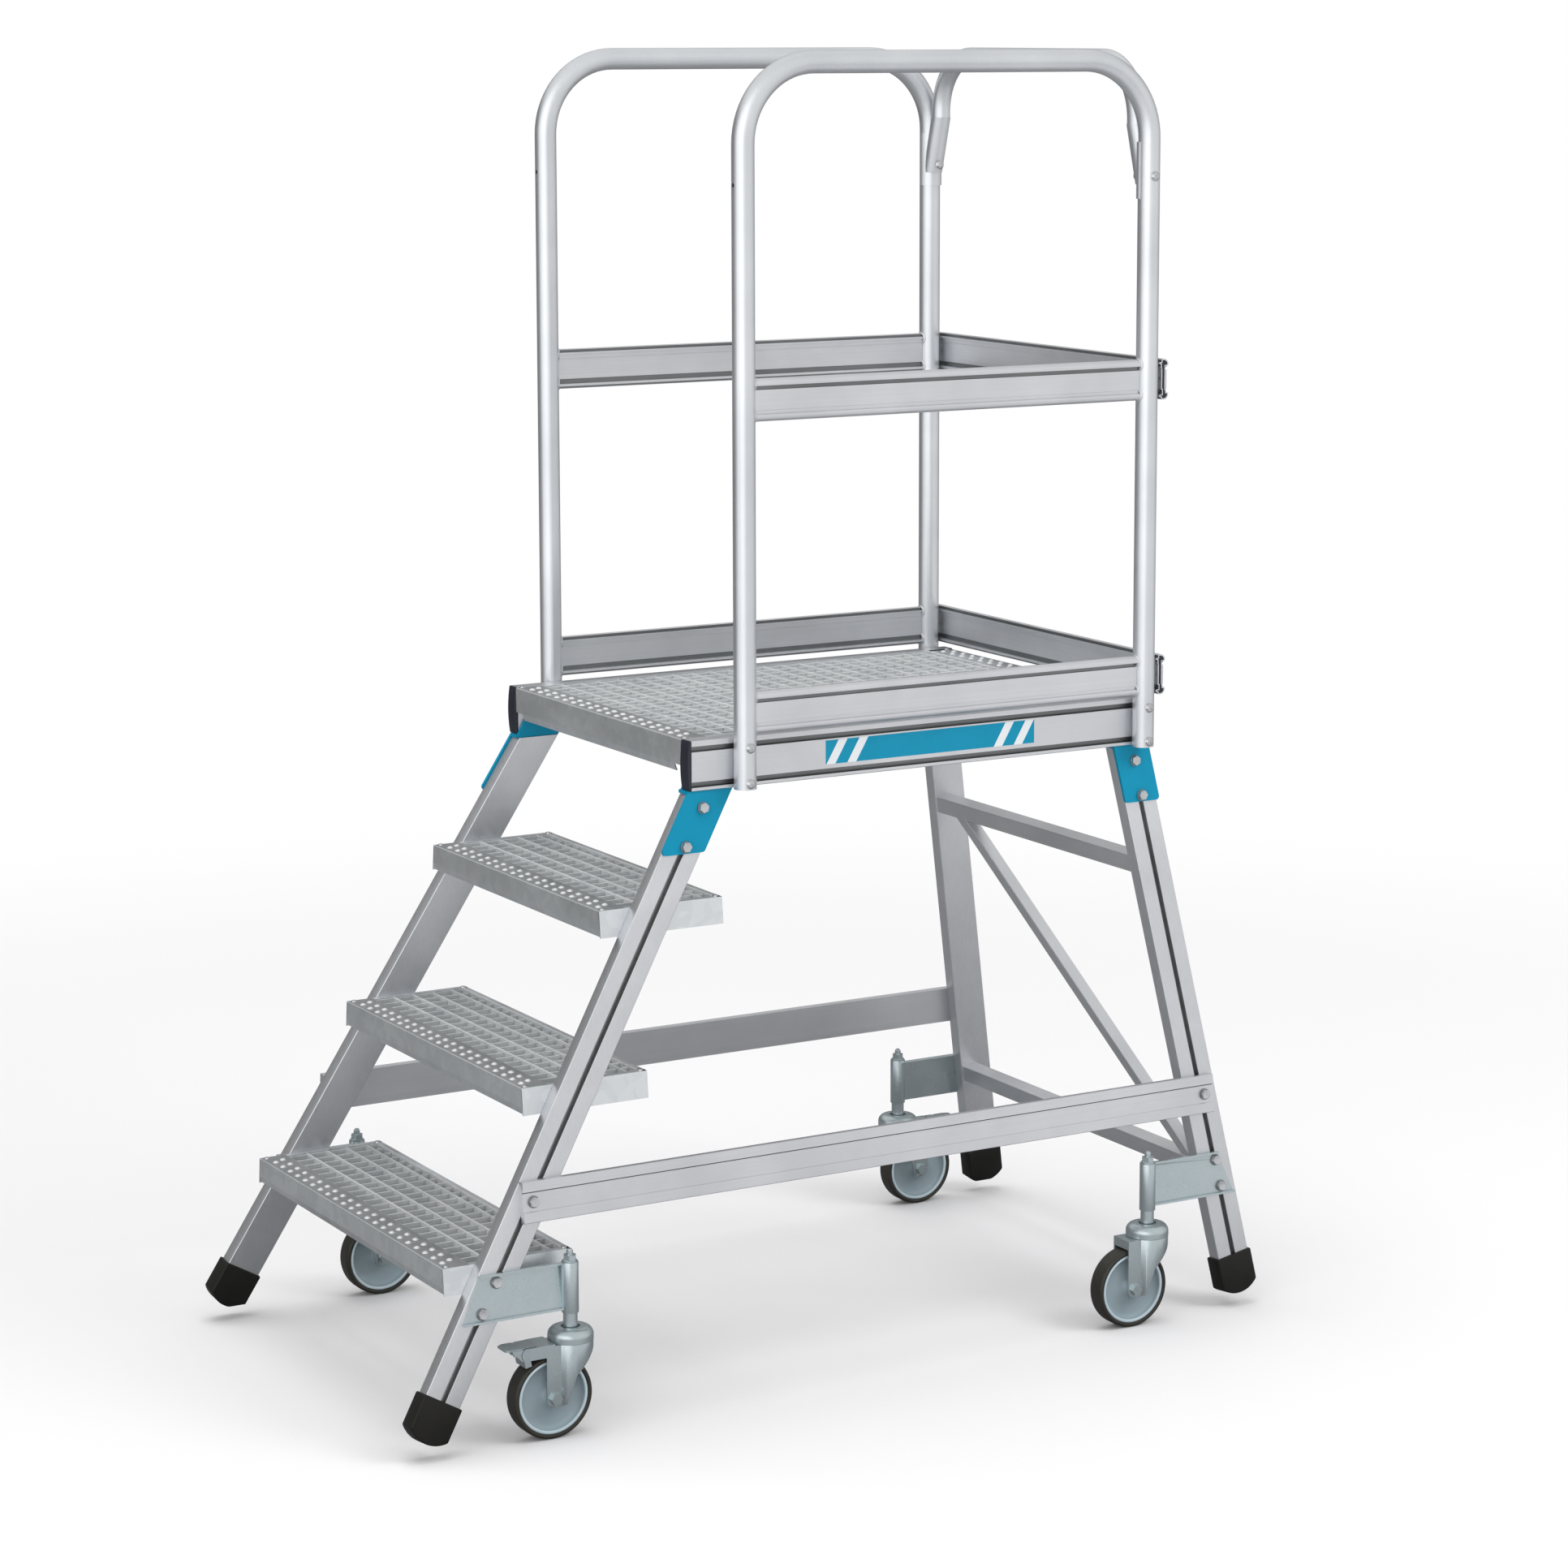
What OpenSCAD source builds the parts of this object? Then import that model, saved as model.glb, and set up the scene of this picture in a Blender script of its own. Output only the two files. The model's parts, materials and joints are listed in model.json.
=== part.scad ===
// Mobile platform steps: splayed aluminium side frames, grating treads and deck, tubular guards,
// rubber feet and four spring-loaded swivel castors.
// Millimetres. +Z is up, -X is the stair side, -Y is the climber's right.
// The origin is on the floor, in the middle of the footprint.

/* [Heights] */
// Height from one tread to the next
riser = 240; // [220:5:260]
// Clearance under the feet while the castors carry the steps, also the castor travel
foot_lift = 22; // [16:1:26]

/* [Side frames] */
// Width of the stile extrusion, in the plane of the side frame
stile_w = 58; // [52:1:64]
// Thickness of the stile extrusion, across the side frame
stile_t = 25; // [22:1:28]
// Wall of the extrusions
profile_wall = 2; // [1.5:0.25:2.5]
// Incline of the front stiles to the floor, in the plane of the side frame
front_angle = 59.7; // [57:0.1:62]
// Incline of the rear stiles to the floor, in the plane of the side frame
rear_angle = 79.85; // [78:0.05:82]
// Outward tilt of each side frame
splay = 6.25; // [5:0.25:7]
// Inset of the stile tops from the deck profile's outer face
stile_inset = 8; // [6:1:10]
// Centre line of the front stile's top behind the deck profile's front end
front_stile_set = 30.8; // [20:0.1:40]
// Centre line of the rear stile's top ahead of the deck profile's rear end
rear_stile_set = 24.6; // [20:0.1:40]

/* [Feet] */
// Rubber wall around the stile end
foot_wall = 3.5; // [2.5:0.5:5]
// Radius of the round sole, centred on the stile
foot_radius = 46; // [44:1:52]
// Height of the boot's mouth above the sole's centre
foot_mouth = 18; // [12:1:28]

/* [Treads] */
// Depth of a tread from nosing to rear edge
tread_depth = 204; // [180:2:220]
// Height of the apron and the end plates
tread_h = 40; // [34:1:48]
// Reach of the nosing ahead of the stile
tread_overhang = 49; // [40:1:60]
// Width of the closed nosing strip
nosing_w = 42; // [34:1:50]
// Sheet of the treads and the deck
sheet_t = 3; // [2:0.5:4]
// Pitch of the grating's cells
cell_pitch = 31; // [26:1:40]

/* [Deck] */
// Length of the deck's side profiles
deck_len = 806; // [700:2:900]
// Half the deck's width over its side profiles
deck_half = 300; // [270:5:330]
// Height of the side profiles
deck_side_h = 75; // [68:1:85]
// Thickness of the side profiles
deck_side_t = 25; // [22:1:28]
// Height of the deck's front apron
deck_apron_h = 50; // [44:1:56]
// Reach of the deck nosing ahead of the side profiles
deck_overhang = 4; // [2:1:12]

/* [Guards] */
// Diameter of the side guards' tube
post_d = 33.7; // [30:0.1:36]
// Wall of the guard tubes
tube_wall = 2; // [1.5:0.25:3]
// Height of the guards above the deck
guard_h = 998; // [900:10:1100]
// Bend radius of the side guards' tube, on its axis
guard_bend = 117; // [90:1:130]
// Front post's axis behind the deck profile's front end
front_post_set = 80; // [66:1:96]
// Rear post's axis ahead of the deck profile's rear end
rear_post_set = 18; // [17.5:0.5:24]
// Height of the mid rails' centre above the deck
mid_rail_h = 496; // [440:2:540]
// Height of the toe boards' centre above the deck
toe_board_h = 37; // [36:1:50]
// Height of the double-bead rail section
rail_h = 63; // [56:1:68]
// Diameter of the rail section's beads
bead_d = 17; // [15:0.5:19]
// Diameter of the rear guard's tube
rear_tube_d = 30; // [26:0.5:32]
// Bend radius of the rear guard's tube, on its axis
rear_bend = 92; // [80:1:110]
// Length of the saddle that hugs the rear post
saddle_len = 86; // [70:1:100]
// Height of the saddle's lower end above the deck
saddle_h = 772; // [720:2:800]
// Reach of the rear rails past the posts' axes
rear_rail_over = 9; // [8:0.5:20]

/* [Braces] */
// Height of the stringers' middle above the floor
stringer_z = 347; // [330:1:370]
// Height of the stringer profile
stringer_h = 60; // [54:1:66]
// Depth of the stringer profile
stringer_t = 12; // [10:0.5:15]
// Depth of the rear cross tubes
cross_w = 26; // [22:1:30]
// Height of the rear cross tubes
cross_h = 28; // [24:1:32]
// Height of the upper cross tube's middle above the floor
cross_upper_z = 714; // [690:2:740]
// Height of the lower cross tube's middle above the floor
cross_lower_z = 224; // [210:1:250]
// Side of the square diagonal brace
brace_w = 20; // [16:1:24]

/* [Brackets] */
// Sheet of the corner brackets
bracket_t = 5; // [3:0.5:6]
// Length of a corner bracket below the deck profile
bracket_len = 86; // [80:1:100]
// Depth of the end caps on the deck profiles
cap_t = 6; // [5:0.5:9]

/* [Castors] */
// Diameter of the wheels
wheel_d = 125; // [115:1:130]
// Width of the tyre
tyre_w = 32; // [28:1:34]
// Thickness of the tyre's tread
tyre_t = 7.5; // [5:0.5:9]
// Trail of the axle behind the swivel axis
trail = 35; // [32:1:40]
// Diameter of the spring housing tube
housing_d = 25; // [24.5:0.5:27]
// Wall of the spring housing tube
housing_wall = 2; // [1.5:0.25:2.25]
// Length of the spring housing tube
housing_len = 75; // [70:1:90]
// Diameter of the swivel head
head_d = 67; // [60:1:70]
// Swivel axis behind the front stile's rear edge
castor_front_gap = 92; // [90:1:104]
// Swivel axis ahead of the rear stile's front edge
castor_rear_gap = 110; // [106:1:120]
// Width of the fork between its legs
fork_gap = 36; // [35:0.5:40]
// Sheet of the fork, the brackets and the pedal
fork_t = 3; // [2.5:0.25:3.5]

/* [Bolts] */
// Diameter of the frame bolts
bolt_d = 8; // [6:0.5:8]
// Diameter of the axle bolts
axle_d = 10; // [8:0.5:12]

/* [Hidden] */

$fn = 48;
right = -1;
left = 1;

// Overrun of cuts past the face that they open
overrun = 1;
// Gap where a curved face seats on another piece
seat_gap = 0.15;
// Clearance of the rubber boots on the stile ends
boot_fit = 0.1;
// Radial clearance of running shafts
running_fit = 0.05;
// Radial clearance of bolts in their holes
bolt_fit = 0.2;
// Size of the half spaces that trim long pieces
room = 4 * deck_len;

// Colours
alloy = [0.80, 0.81, 0.83];
galvanised = [0.66, 0.68, 0.69];
zinc = [0.62, 0.68, 0.70];
blue = [0.0, 0.60, 0.73];
dark = [0.07, 0.07, 0.09];
tyre_dark = [0.10, 0.10, 0.08];
rim_grey = [0.72, 0.79, 0.82];

// Rise of the deck, counted in treads with the deck as the last
rises = 4;
deck_z = foot_lift + rises * riser;
deck_bottom = deck_z - deck_side_h;
stile_top_z = deck_bottom - bracket_t;
stile_top_half = deck_half - stile_inset;
front_lean = 90 - front_angle;
rear_lean = 90 - rear_angle;
// Half widths of the stiles, measured level
front_half_w = stile_w / 2 / cos(front_lean);
rear_half_w = stile_w / 2 / cos(rear_lean);
// Level run of the stiles for each unit of height
front_run = tan(front_lean) / cos(splay);
rear_run = tan(rear_lean) / cos(splay);

// Rounded edges of the stiles and the rear bracing
edge_round = 1.5;

// Bolt slots of the extrusions
slot_w = bolt_d + 2 * bolt_fit;
slot_depth = 6;

// Feet: sole centre, and the drop from it to the corners of the boot
foot_half = stile_w / 2 + foot_wall;
foot_drop = sqrt(foot_radius * foot_radius - foot_half * foot_half);
// Depth that the sole is cut flat
foot_flat = 2;
// Stile end below the sole's centre
foot_seat = 20;
foot_centre_z = foot_lift + foot_radius - foot_flat;
foot_fall = stile_top_z - foot_centre_z - stile_t / 2 * sin(splay);
front_foot_run = foot_fall / (cos(front_lean) * cos(splay));
rear_foot_run = foot_fall / (cos(rear_lean) * cos(splay));

// Places along X: the footprint is centred on the origin
front_reach = front_stile_set - (front_foot_run + foot_drop) * sin(front_lean) - foot_half * cos(front_lean);
rear_reach = deck_len - rear_stile_set + (rear_foot_run + foot_drop) * sin(rear_lean)
    + foot_half * cos(rear_lean);
// Step that the place is rounded to
place_step = 0.01;
deck_front = -round((front_reach + rear_reach) / 2 / place_step) * place_step;
deck_rear = deck_front + deck_len;
front_top_x = deck_front + front_stile_set;
rear_top_x = deck_rear - rear_stile_set;

// Outer face of a side frame, and the stiles' centre lines on it, at height z
function outer_y(z) = stile_top_half + (stile_top_z - z) * tan(splay);
function inner_y(z) = outer_y(z) - stile_t / cos(splay);
function front_axis_x(z) = front_top_x + (z - stile_top_z) * front_run;
function rear_axis_x(z) = rear_top_x - (z - stile_top_z) * rear_run;
// Height z as a distance along the side frame's outer face
function frame_s(z) = (z - stile_top_z) / cos(splay);

// Treads and deck
tread_count = rises - 1;
// Ridges run across the walkway, with the cross bars below their tops
ridge_h = 4;
cross_bar_h = 8;
bearing_bar_h = 26;
// Folded lip along the lower edge of the aprons
lip_h = 11;
lip_set = 4;
bar_t = 2.5;
tread_rear_strip = 8;
tread_side_strip = 10;
// Share of the end plate's sheet that the bars run into
plate_bite_share = 0.8;
deck_inner = deck_half - deck_side_t;
deck_rear_gap = 3;
// Set-back of the deck's side plates and the short ends of its folded lip
deck_plate_set = 15;
deck_lip_short = 22;

// Deck profile slots, measured to their middles from the profile's edges
slot_top = 12.5;
slot_bottom = 9.5;
slot_heights = [deck_z - slot_top, deck_bottom + slot_bottom];

// Printed strip on the deck profiles
label_t = 0.4;
label_len = 370;
label_h = 36;
label_set = 238;

// Guards
post_r = post_d / 2;
post_y = deck_half + post_r + seat_gap;
front_post_x = deck_front + front_post_set;
rear_post_x = deck_rear - rear_post_set;
guard_top = deck_z + guard_h - post_r;
chain_hole_d = 7;
chain_hole_drop = 175;
bead_r = bead_d / 2;
rail_web = 8;
rear_rail_x = rear_post_x + post_r + bead_r + seat_gap;
rail_heights = [deck_z + mid_rail_h, deck_z + toe_board_h];
plug_inset = 1;
plug_fit = 0.1;
// Plugs end short of the bolts through the rails
plug_len = rear_rail_over - plug_inset - bolt_d / 2 - 2 * bolt_fit;
rear_rail_half = post_y + rear_rail_over;

// Rear guard
rear_tube_r = rear_tube_d / 2;
saddle_t = 2.2;
leg_y = post_y - post_r - rear_tube_r - saddle_t;
rear_guard_top = deck_z + guard_h - rear_tube_r;
saddle_z = deck_z + saddle_h;
// Share of the saddle's length where its bolt sits
saddle_bolt_share = 0.4;
saddle_bolt_z = saddle_z + saddle_len * saddle_bolt_share;
// Shares of the saddle's length where the formed leg end starts and ends
form_start_share = 0.25;
form_end_share = 1.3;
// Swell of the formed end over the tube
form_swell = 0.6;
form_low = saddle_z + saddle_len * form_start_share;
form_high = saddle_z + saddle_len * form_end_share;
form_rise = form_high - form_low;
form_shift = post_y - leg_y - post_r / 2;
form_tilt = atan2(form_shift, form_rise);

// Stringers
stringer_s = frame_s(stringer_z);
stringer_end = 17;
band_proud = 2;
band_upper = 13;
band_lower = 16;
front_stringer_x = front_top_x + stringer_s * tan(front_lean);
rear_stringer_x = rear_top_x - stringer_s * tan(rear_lean);

// Rear bracing: both cross tubes are set back from the stiles' front faces
cross_set = 3;
tube_t = 2;
// Ends of the brace's axis from the stiles' inner faces
brace_top_end = 48;
brace_low_end = 3;

// Corner brackets
bracket_round = 6;
bracket_bolt_drops = [21, 76];
// Reach of the brackets past the stiles' edges
bracket_over = 3;
// Gap from the brackets' inner flange up to the deck's side plates
flange_gap = 0.5;

// Castor stack, from the floor up
axle_z = wheel_d / 2;
crown_clear = 11.5;
crown_t = 4;
swivel_gap = 0.5;
head_h = 19;
head_round = 12;
head_recess = 6;
recess_gap = 1.5;
head_recess_r = housing_d / 2 + recess_gap;
stroke_spare = 5;
crown_z = wheel_d + crown_clear;
head_z = crown_z + crown_t + swivel_gap;
recess_z = head_z + head_h - head_recess;
housing_z = recess_z + foot_lift + stroke_spare;
housing_top = housing_z + housing_len;
channel_margin = 3.5;
channel_flange = 9;
channel_low = 168;
channel_high = 140;
channel_bolt_set = 13;
channel_z = housing_z + channel_margin;
channel_top = housing_top - channel_margin;
channel_mid = (channel_z + channel_top) / 2;
housing_cap = 4;
bore_r = housing_d / 2 - housing_wall;
stem_r = bore_r - running_fit;
stem_engage = 24;
stud_r = 5;
stud_fit = 0.5;
stud_top = 19;
stud_tip_h = 3;
stud_tip_r = 3;
nut_af = 17;
nut_h = 8;
washer_r = 11;
washer_t = 2;
// Reach of the swivel axis outside the stile's face, at the channel's middle
castor_out = housing_d / 2 - fork_t;
castor_y = outer_y(channel_mid) + castor_out;
front_castor_x = front_axis_x(channel_mid) + front_half_w + castor_front_gap;
rear_castor_x = rear_axis_x(channel_mid) - rear_half_w - castor_rear_gap;

// Spring: round wire, wound by a formula
spring_turns = 6;
spring_wire_r = 1;
spring_r = 7.5;
ring_steps = 8;
wire_sides = 6;
spring_low = housing_z + stem_engage + seat_gap;
spring_high = housing_top - housing_cap - seat_gap;

// Fork
king_r = 6;
rivet_r = 11;
rivet_t = 4;
// Radius of the fork's cup, under the swivel head
cup_r = 33;
leg_inner = fork_gap / 2;
leg_outer = leg_inner + fork_t;
leg_half = 14;
leg_drop = 13;
leg_round = 12;
leg_behind = 13.5;
leg_trail = trail + leg_behind;
leg_lead = cup_r + overrun;
leg_top_round = 1;
// Drawn-in edge of the leg: its neck and its toe, from the axle and the crown
leg_neck = 29;
leg_neck_drop = 41.5;
leg_toe = 16;
leg_toe_drop = 8.5;
// Flap that closes the back of a fork without a brake
flap_h = 14;

// Brake: cheeks on the fork, and the pedal with its cam
cheek_r = 9;
cover_front = 35;
cover_back = 63;
pivot_behind = 44;
pivot_drop = 2.5;
pivot_x = -(trail + pivot_behind);
pivot_z = crown_z - pivot_drop;
pin_r = 3;
pedal_side_gap = 2;
pedal_half = leg_inner - pedal_side_gap;
pedal_hub_r = 8;
cam_gap = 1;
cam_half = 5;
cam_len = norm([pivot_x + trail, pivot_z - axle_z]) - wheel_d / 2 - cam_gap;
// Angle from the pedal's rest to full brake
pedal_press = 20;
cam_angle = atan2(pivot_x + trail, pivot_z - axle_z) + pedal_press;
pedal_tip = 31.5;
pedal_rise = 10;
pedal_front = 15;
pedal_neck = 6;
// Taper at the pedal's tip
taper_len = 9;
tip_half = 13;
// Skirts beside the cheeks' round ends
skirt_gap = 0.7;
skirt_bite = 1;
skirt_out = 4.5;
skirt_top = 9;
skirt_low = 8.5;
skirt_end = 7;
skirt_far = 24;
skirt_tooth = 20;
skirt_step = 16.5;
skirt_nick = 13;
skirt_nick_low = 3.5;
skirt_heel = 8;

// Wheel
hub_r = 14;
hub_side_gap = 0.5;
disc_half = 5;
rim_r = wheel_d / 2 - tyre_t;
rim_t = 5.5;
rim_inset = 3;
rim_half = tyre_w / 2 - rim_inset;
tyre_round = 4;
axle_head_af = 16;
axle_head_h = 6;

// Bolts
hex_af = 13;
hex_h = 5.3;
plate_washer_r = 8;
plate_washer_t = 1.6;
bolt_short = 1;
button_r = 7;
button_top_r = 4.5;
button_h = 4;
// Seat of the saddle bolt's nut on the formed end
saddle_nut_y = leg_y + form_shift * (form_high - saddle_bolt_z) / form_rise
    - (rear_tube_r + form_swell) / cos(form_tilt) - button_r * tan(form_tilt);

// Moves right-hand pieces to either side
module on_side(side) {
    if (side > 0) mirror([0, 1, 0]) children();
    else children();
}

// Plane of a side frame: X along the frame, +Y inwards from the stiles' outer face, +Z up the face
module side_plane(side)
    on_side(side) translate([0, -stile_top_half, stile_top_z]) rotate([-splay, 0, 0]) children();

// Centre line of a stile, from its top
module stile_line(front) {
    if (front) translate([front_top_x, 0, 0]) rotate([0, front_lean, 0]) children();
    else translate([rear_top_x, 0, 0]) rotate([0, -rear_lean, 0]) children();
}

// Outline drawn in X and Z, with thickness from y0 to y1
module slab_xz(y0, y1) translate([0, y1, 0]) rotate([90, 0, 0]) linear_extrude(y1 - y0) children();

// Outline drawn in Y and Z, with thickness from x0 to x1
module slab_yz(x0, x1) translate([x0, 0, 0]) rotate([90, 0, 90]) linear_extrude(x1 - x0) children();

// Cylinder along Y from y0 to y1
module pin_y(r, y0, y1) translate([0, y1, 0]) rotate([90, 0, 0]) cylinder(r = r, h = y1 - y0);

// Half space below or above a height
module below(z) translate([-room / 2, -room / 2, z - room]) cube([room, room, room]);
module above(z) translate([-room / 2, -room / 2, z]) cube([room, room, room]);

function unit(v) = v / norm(v);
function corner_half(p, a, b) = acos(unit(a - p) * unit(b - p)) / 2;

// Convex polygon with its own radius at each corner
module round_polygon(points, radii) {
    n = len(points);
    pick = function(i) points[(i + n) % n];
    polygon([for (i = [0 : n - 1]) each
        let (
            p = pick(i),
            a = pick(i - 1),
            b = pick(i + 1),
            cut = radii[i] / tan(corner_half(p, a, b))
        )
        [p + cut * unit(a - p), p + cut * unit(b - p)]]);
    for (i = [0 : n - 1])
        let (
            p = pick(i),
            a = pick(i - 1),
            b = pick(i + 1),
            away = radii[i] / sin(corner_half(p, a, b))
        )
        translate(p + away * unit(unit(a - p) + unit(b - p))) circle(radii[i]);
}

// Rectangle from a corner, with one radius all round
module round_box(x, y, w, h, r)
    round_polygon([[x, y], [x + w, y], [x + w, y + h], [x, y + h]], [r, r, r, r]);

// Slotted hollow stile extrusion, outer face on y = 0
module stile_section() difference() {
    round_box(-stile_w / 2, 0, stile_w, stile_t, edge_round);
    translate([-slot_w / 2, -overrun]) square([slot_w, slot_depth + overrun]);
    translate([-slot_w / 2, slot_depth + profile_wall])
        square([slot_w, stile_t - slot_depth - 2 * profile_wall]);
    for (m = [0, 1]) mirror([m, 0]) translate([slot_w / 2 + profile_wall, profile_wall])
        square([(stile_w - slot_w) / 2 - 2 * profile_wall, stile_t - 2 * profile_wall]);
}

module stile(side, front) color(alloy) intersection() {
    run = (front ? front_foot_run : rear_foot_run) + foot_seat;
    side_plane(side) stile_line(front) translate([0, 0, -run]) linear_extrude(run + stile_w) stile_section();
    below(stile_top_z);
}

module foot_outline() intersection() {
    translate([-foot_half, -foot_radius]) square([2 * foot_half, foot_radius + foot_mouth]);
    union() {
        circle(foot_radius);
        translate([-foot_half, 0]) square([2 * foot_half, foot_mouth]);
    }
}

module foot(side, front) color(dark) intersection() {
    run = front ? front_foot_run : rear_foot_run;
    side_plane(side) stile_line(front) translate([0, 0, -run]) difference() {
        slab_xz(-foot_wall, stile_t + foot_wall) foot_outline();
        translate([-stile_w / 2 - boot_fit, -boot_fit, -foot_seat])
            cube([stile_w + 2 * boot_fit, stile_t + 2 * boot_fit, foot_seat + foot_mouth + overrun]);
    }
    above(foot_lift);
}

module rubber_feet() for (side = [right, left], front = [true, false]) foot(side, front);

// Open cells between x0 and x1, and between -half and half
module cells(x0, x1, half) {
    nx = round((x1 - x0) / cell_pitch);
    ny = round(2 * half / cell_pitch);
    dx = (x1 - x0) / nx;
    dy = 2 * half / ny;
    for (i = [0 : nx - 1], j = [0 : ny - 1])
        translate([x0 + i * dx + bar_t / 2, j * dy - half + bar_t / 2]) square([dx - bar_t, dy - bar_t]);
}

// Long openings between ridges
module ridge_gaps(x0, x1, half) {
    nx = round((x1 - x0) / cell_pitch);
    dx = (x1 - x0) / nx;
    for (i = [0 : nx - 1]) translate([x0 + i * dx + bar_t / 2, -half]) square([dx - bar_t, 2 * half]);
}

// Front sheet with a lip folded back along its lower edge, from the top front edge at x and z
module apron_outline(x, z, h) polygon([[x, z], [x + sheet_t, z], [x + sheet_t, z - h + lip_h],
    [x + sheet_t + lip_set, z - h], [x + lip_set, z - h], [x, z - h + lip_h]]);

// Upright sheet across the tread, ending in the sloping end plates
module tread_sheet(x, t, z, h) {
    bite = sheet_t * plate_bite_share - sheet_t;
    top = inner_y(z) + bite;
    low = inner_y(z - h) + bite;
    slab_yz(x, x + t) polygon([[-top, z], [top, z], [low, z - h], [-low, z - h]]);
}

module tread(level) color(galvanised) {
    z = foot_lift + level * riser;
    x = front_axis_x(z) - front_half_w - tread_overhang;
    half = inner_y(z) - sheet_t;
    reach = half + sheet_t * plate_bite_share;
    grid_x0 = x + nosing_w;
    grid_x1 = x + tread_depth - tread_rear_strip;
    bars = round((grid_x1 - grid_x0) / cell_pitch);
    plate_s = frame_s(z) + stile_t * tan(splay);
    union() {
        translate([0, 0, z - ridge_h]) linear_extrude(ridge_h) difference() {
            translate([x, -reach]) square([tread_depth, 2 * reach]);
            ridge_gaps(grid_x0, grid_x1, half - tread_side_strip);
        }
        translate([0, 0, z - ridge_h - cross_bar_h]) linear_extrude(cross_bar_h) difference() {
            translate([grid_x0 - bar_t / 2, -reach])
                square([x + tread_depth + bar_t / 2 - grid_x0, 2 * reach]);
            cells(grid_x0, grid_x1, half - tread_side_strip);
        }
        intersection() {
            slab_xz(-inner_y(0), inner_y(0)) apron_outline(x, z, tread_h);
            between_frames();
        }
        tread_sheet(x + tread_depth - sheet_t, sheet_t, z, bearing_bar_h);
        for (i = [0 : bars - 1])
            tread_sheet(grid_x0 + (grid_x1 - grid_x0) * i / bars - bar_t / 2, bar_t, z, bearing_bar_h);
        for (side = [right, left]) side_plane(side) translate([x, stile_t, plate_s - tread_h / cos(splay)])
            cube([tread_depth, sheet_t, tread_h / cos(splay)]);
    }
}

// Deck profile: outer face on x = 0, inwards is +x, drawn from its lower edge up
module deck_section() difference() {
    square([deck_side_t, deck_side_h]);
    for (h = slot_heights) translate([-overrun, h - deck_bottom - slot_w / 2])
        square([slot_depth + overrun, slot_w]);
    low = slot_bottom + slot_w / 2 + profile_wall;
    high = deck_side_h - slot_top - slot_w / 2 - profile_wall;
    translate([profile_wall, low]) square([deck_side_t - 2 * profile_wall, high - low]);
    for (h = slot_heights) translate([slot_depth + profile_wall, h - deck_bottom - slot_w / 2])
        square([deck_side_t - slot_depth - 2 * profile_wall, slot_w]);
}

module deck_side(side) color(alloy) on_side(side)
    translate([0, -deck_half, deck_bottom]) slab_yz(deck_front, deck_rear) deck_section();

module deck_grating() color(galvanised) {
    x0 = deck_front - deck_overhang;
    x1 = deck_rear - deck_rear_gap;
    grid_x0 = x0 + nosing_w;
    grid_x1 = x1 - nosing_w;
    union() {
        translate([0, 0, deck_z - ridge_h]) linear_extrude(ridge_h) difference() {
            translate([x0, -deck_inner]) square([x1 - x0, 2 * deck_inner]);
            ridge_gaps(grid_x0, grid_x1, deck_inner - tread_side_strip);
        }
        translate([0, 0, deck_z - ridge_h - cross_bar_h]) linear_extrude(cross_bar_h) difference() {
            translate([grid_x0 - bar_t / 2, -deck_inner])
                square([grid_x1 - grid_x0 + bar_t, 2 * deck_inner]);
            cells(grid_x0, grid_x1, deck_inner - tread_side_strip);
        }
        difference() {
            slab_xz(-deck_inner, deck_inner) apron_outline(x0, deck_z, deck_apron_h);
            for (side = [right, left]) on_side(side)
                translate([x0 - overrun, -deck_inner - overrun, deck_z - deck_apron_h - overrun])
                    cube([sheet_t + lip_set + 2 * overrun, deck_lip_short + overrun, lip_h + overrun]);
        }
        translate([x1 - sheet_t, -deck_inner, deck_z - deck_apron_h])
            cube([sheet_t, 2 * deck_inner, deck_apron_h]);
        bars = round((grid_x1 - grid_x0) / cell_pitch);
        for (i = [0 : bars]) translate([grid_x0 + (grid_x1 - grid_x0) * i / bars - bar_t / 2, -deck_inner,
            deck_z - bearing_bar_h]) cube([bar_t, 2 * deck_inner, bearing_bar_h]);
        for (side = [right, left]) on_side(side)
            translate([x0 + deck_plate_set, -deck_inner, deck_z - deck_apron_h])
                cube([x1 - x0 - deck_plate_set, sheet_t, deck_apron_h]);
    }
}

// Cap with a barrel-shaped front, drawn with its flat back on x = 0
module cap_outline() {
    bulge = cap_t / 2;
    arc_r = (deck_side_h * deck_side_h / 4 + bulge * bulge) / (2 * bulge);
    intersection() {
        translate([-cap_t, 0]) square([cap_t, deck_side_h]);
        translate([arc_r - cap_t, deck_side_h / 2]) circle(arc_r, $fn = 720);
    }
}

module deck_end_caps() color(dark) for (side = [right, left]) on_side(side) {
    translate([deck_front, 0, deck_bottom]) slab_xz(-deck_half, -deck_inner) cap_outline();
    translate([deck_rear, 0, deck_bottom]) slab_xz(-deck_half, -deck_inner) mirror([1, 0]) cap_outline();
}

module side_labels() color(blue) for (side = [right, left]) on_side(side)
    translate([deck_front + label_set, -deck_half - label_t,
        (slot_heights[0] + slot_heights[1] - label_h) / 2]) cube([label_len, label_t, label_h]);

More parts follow.
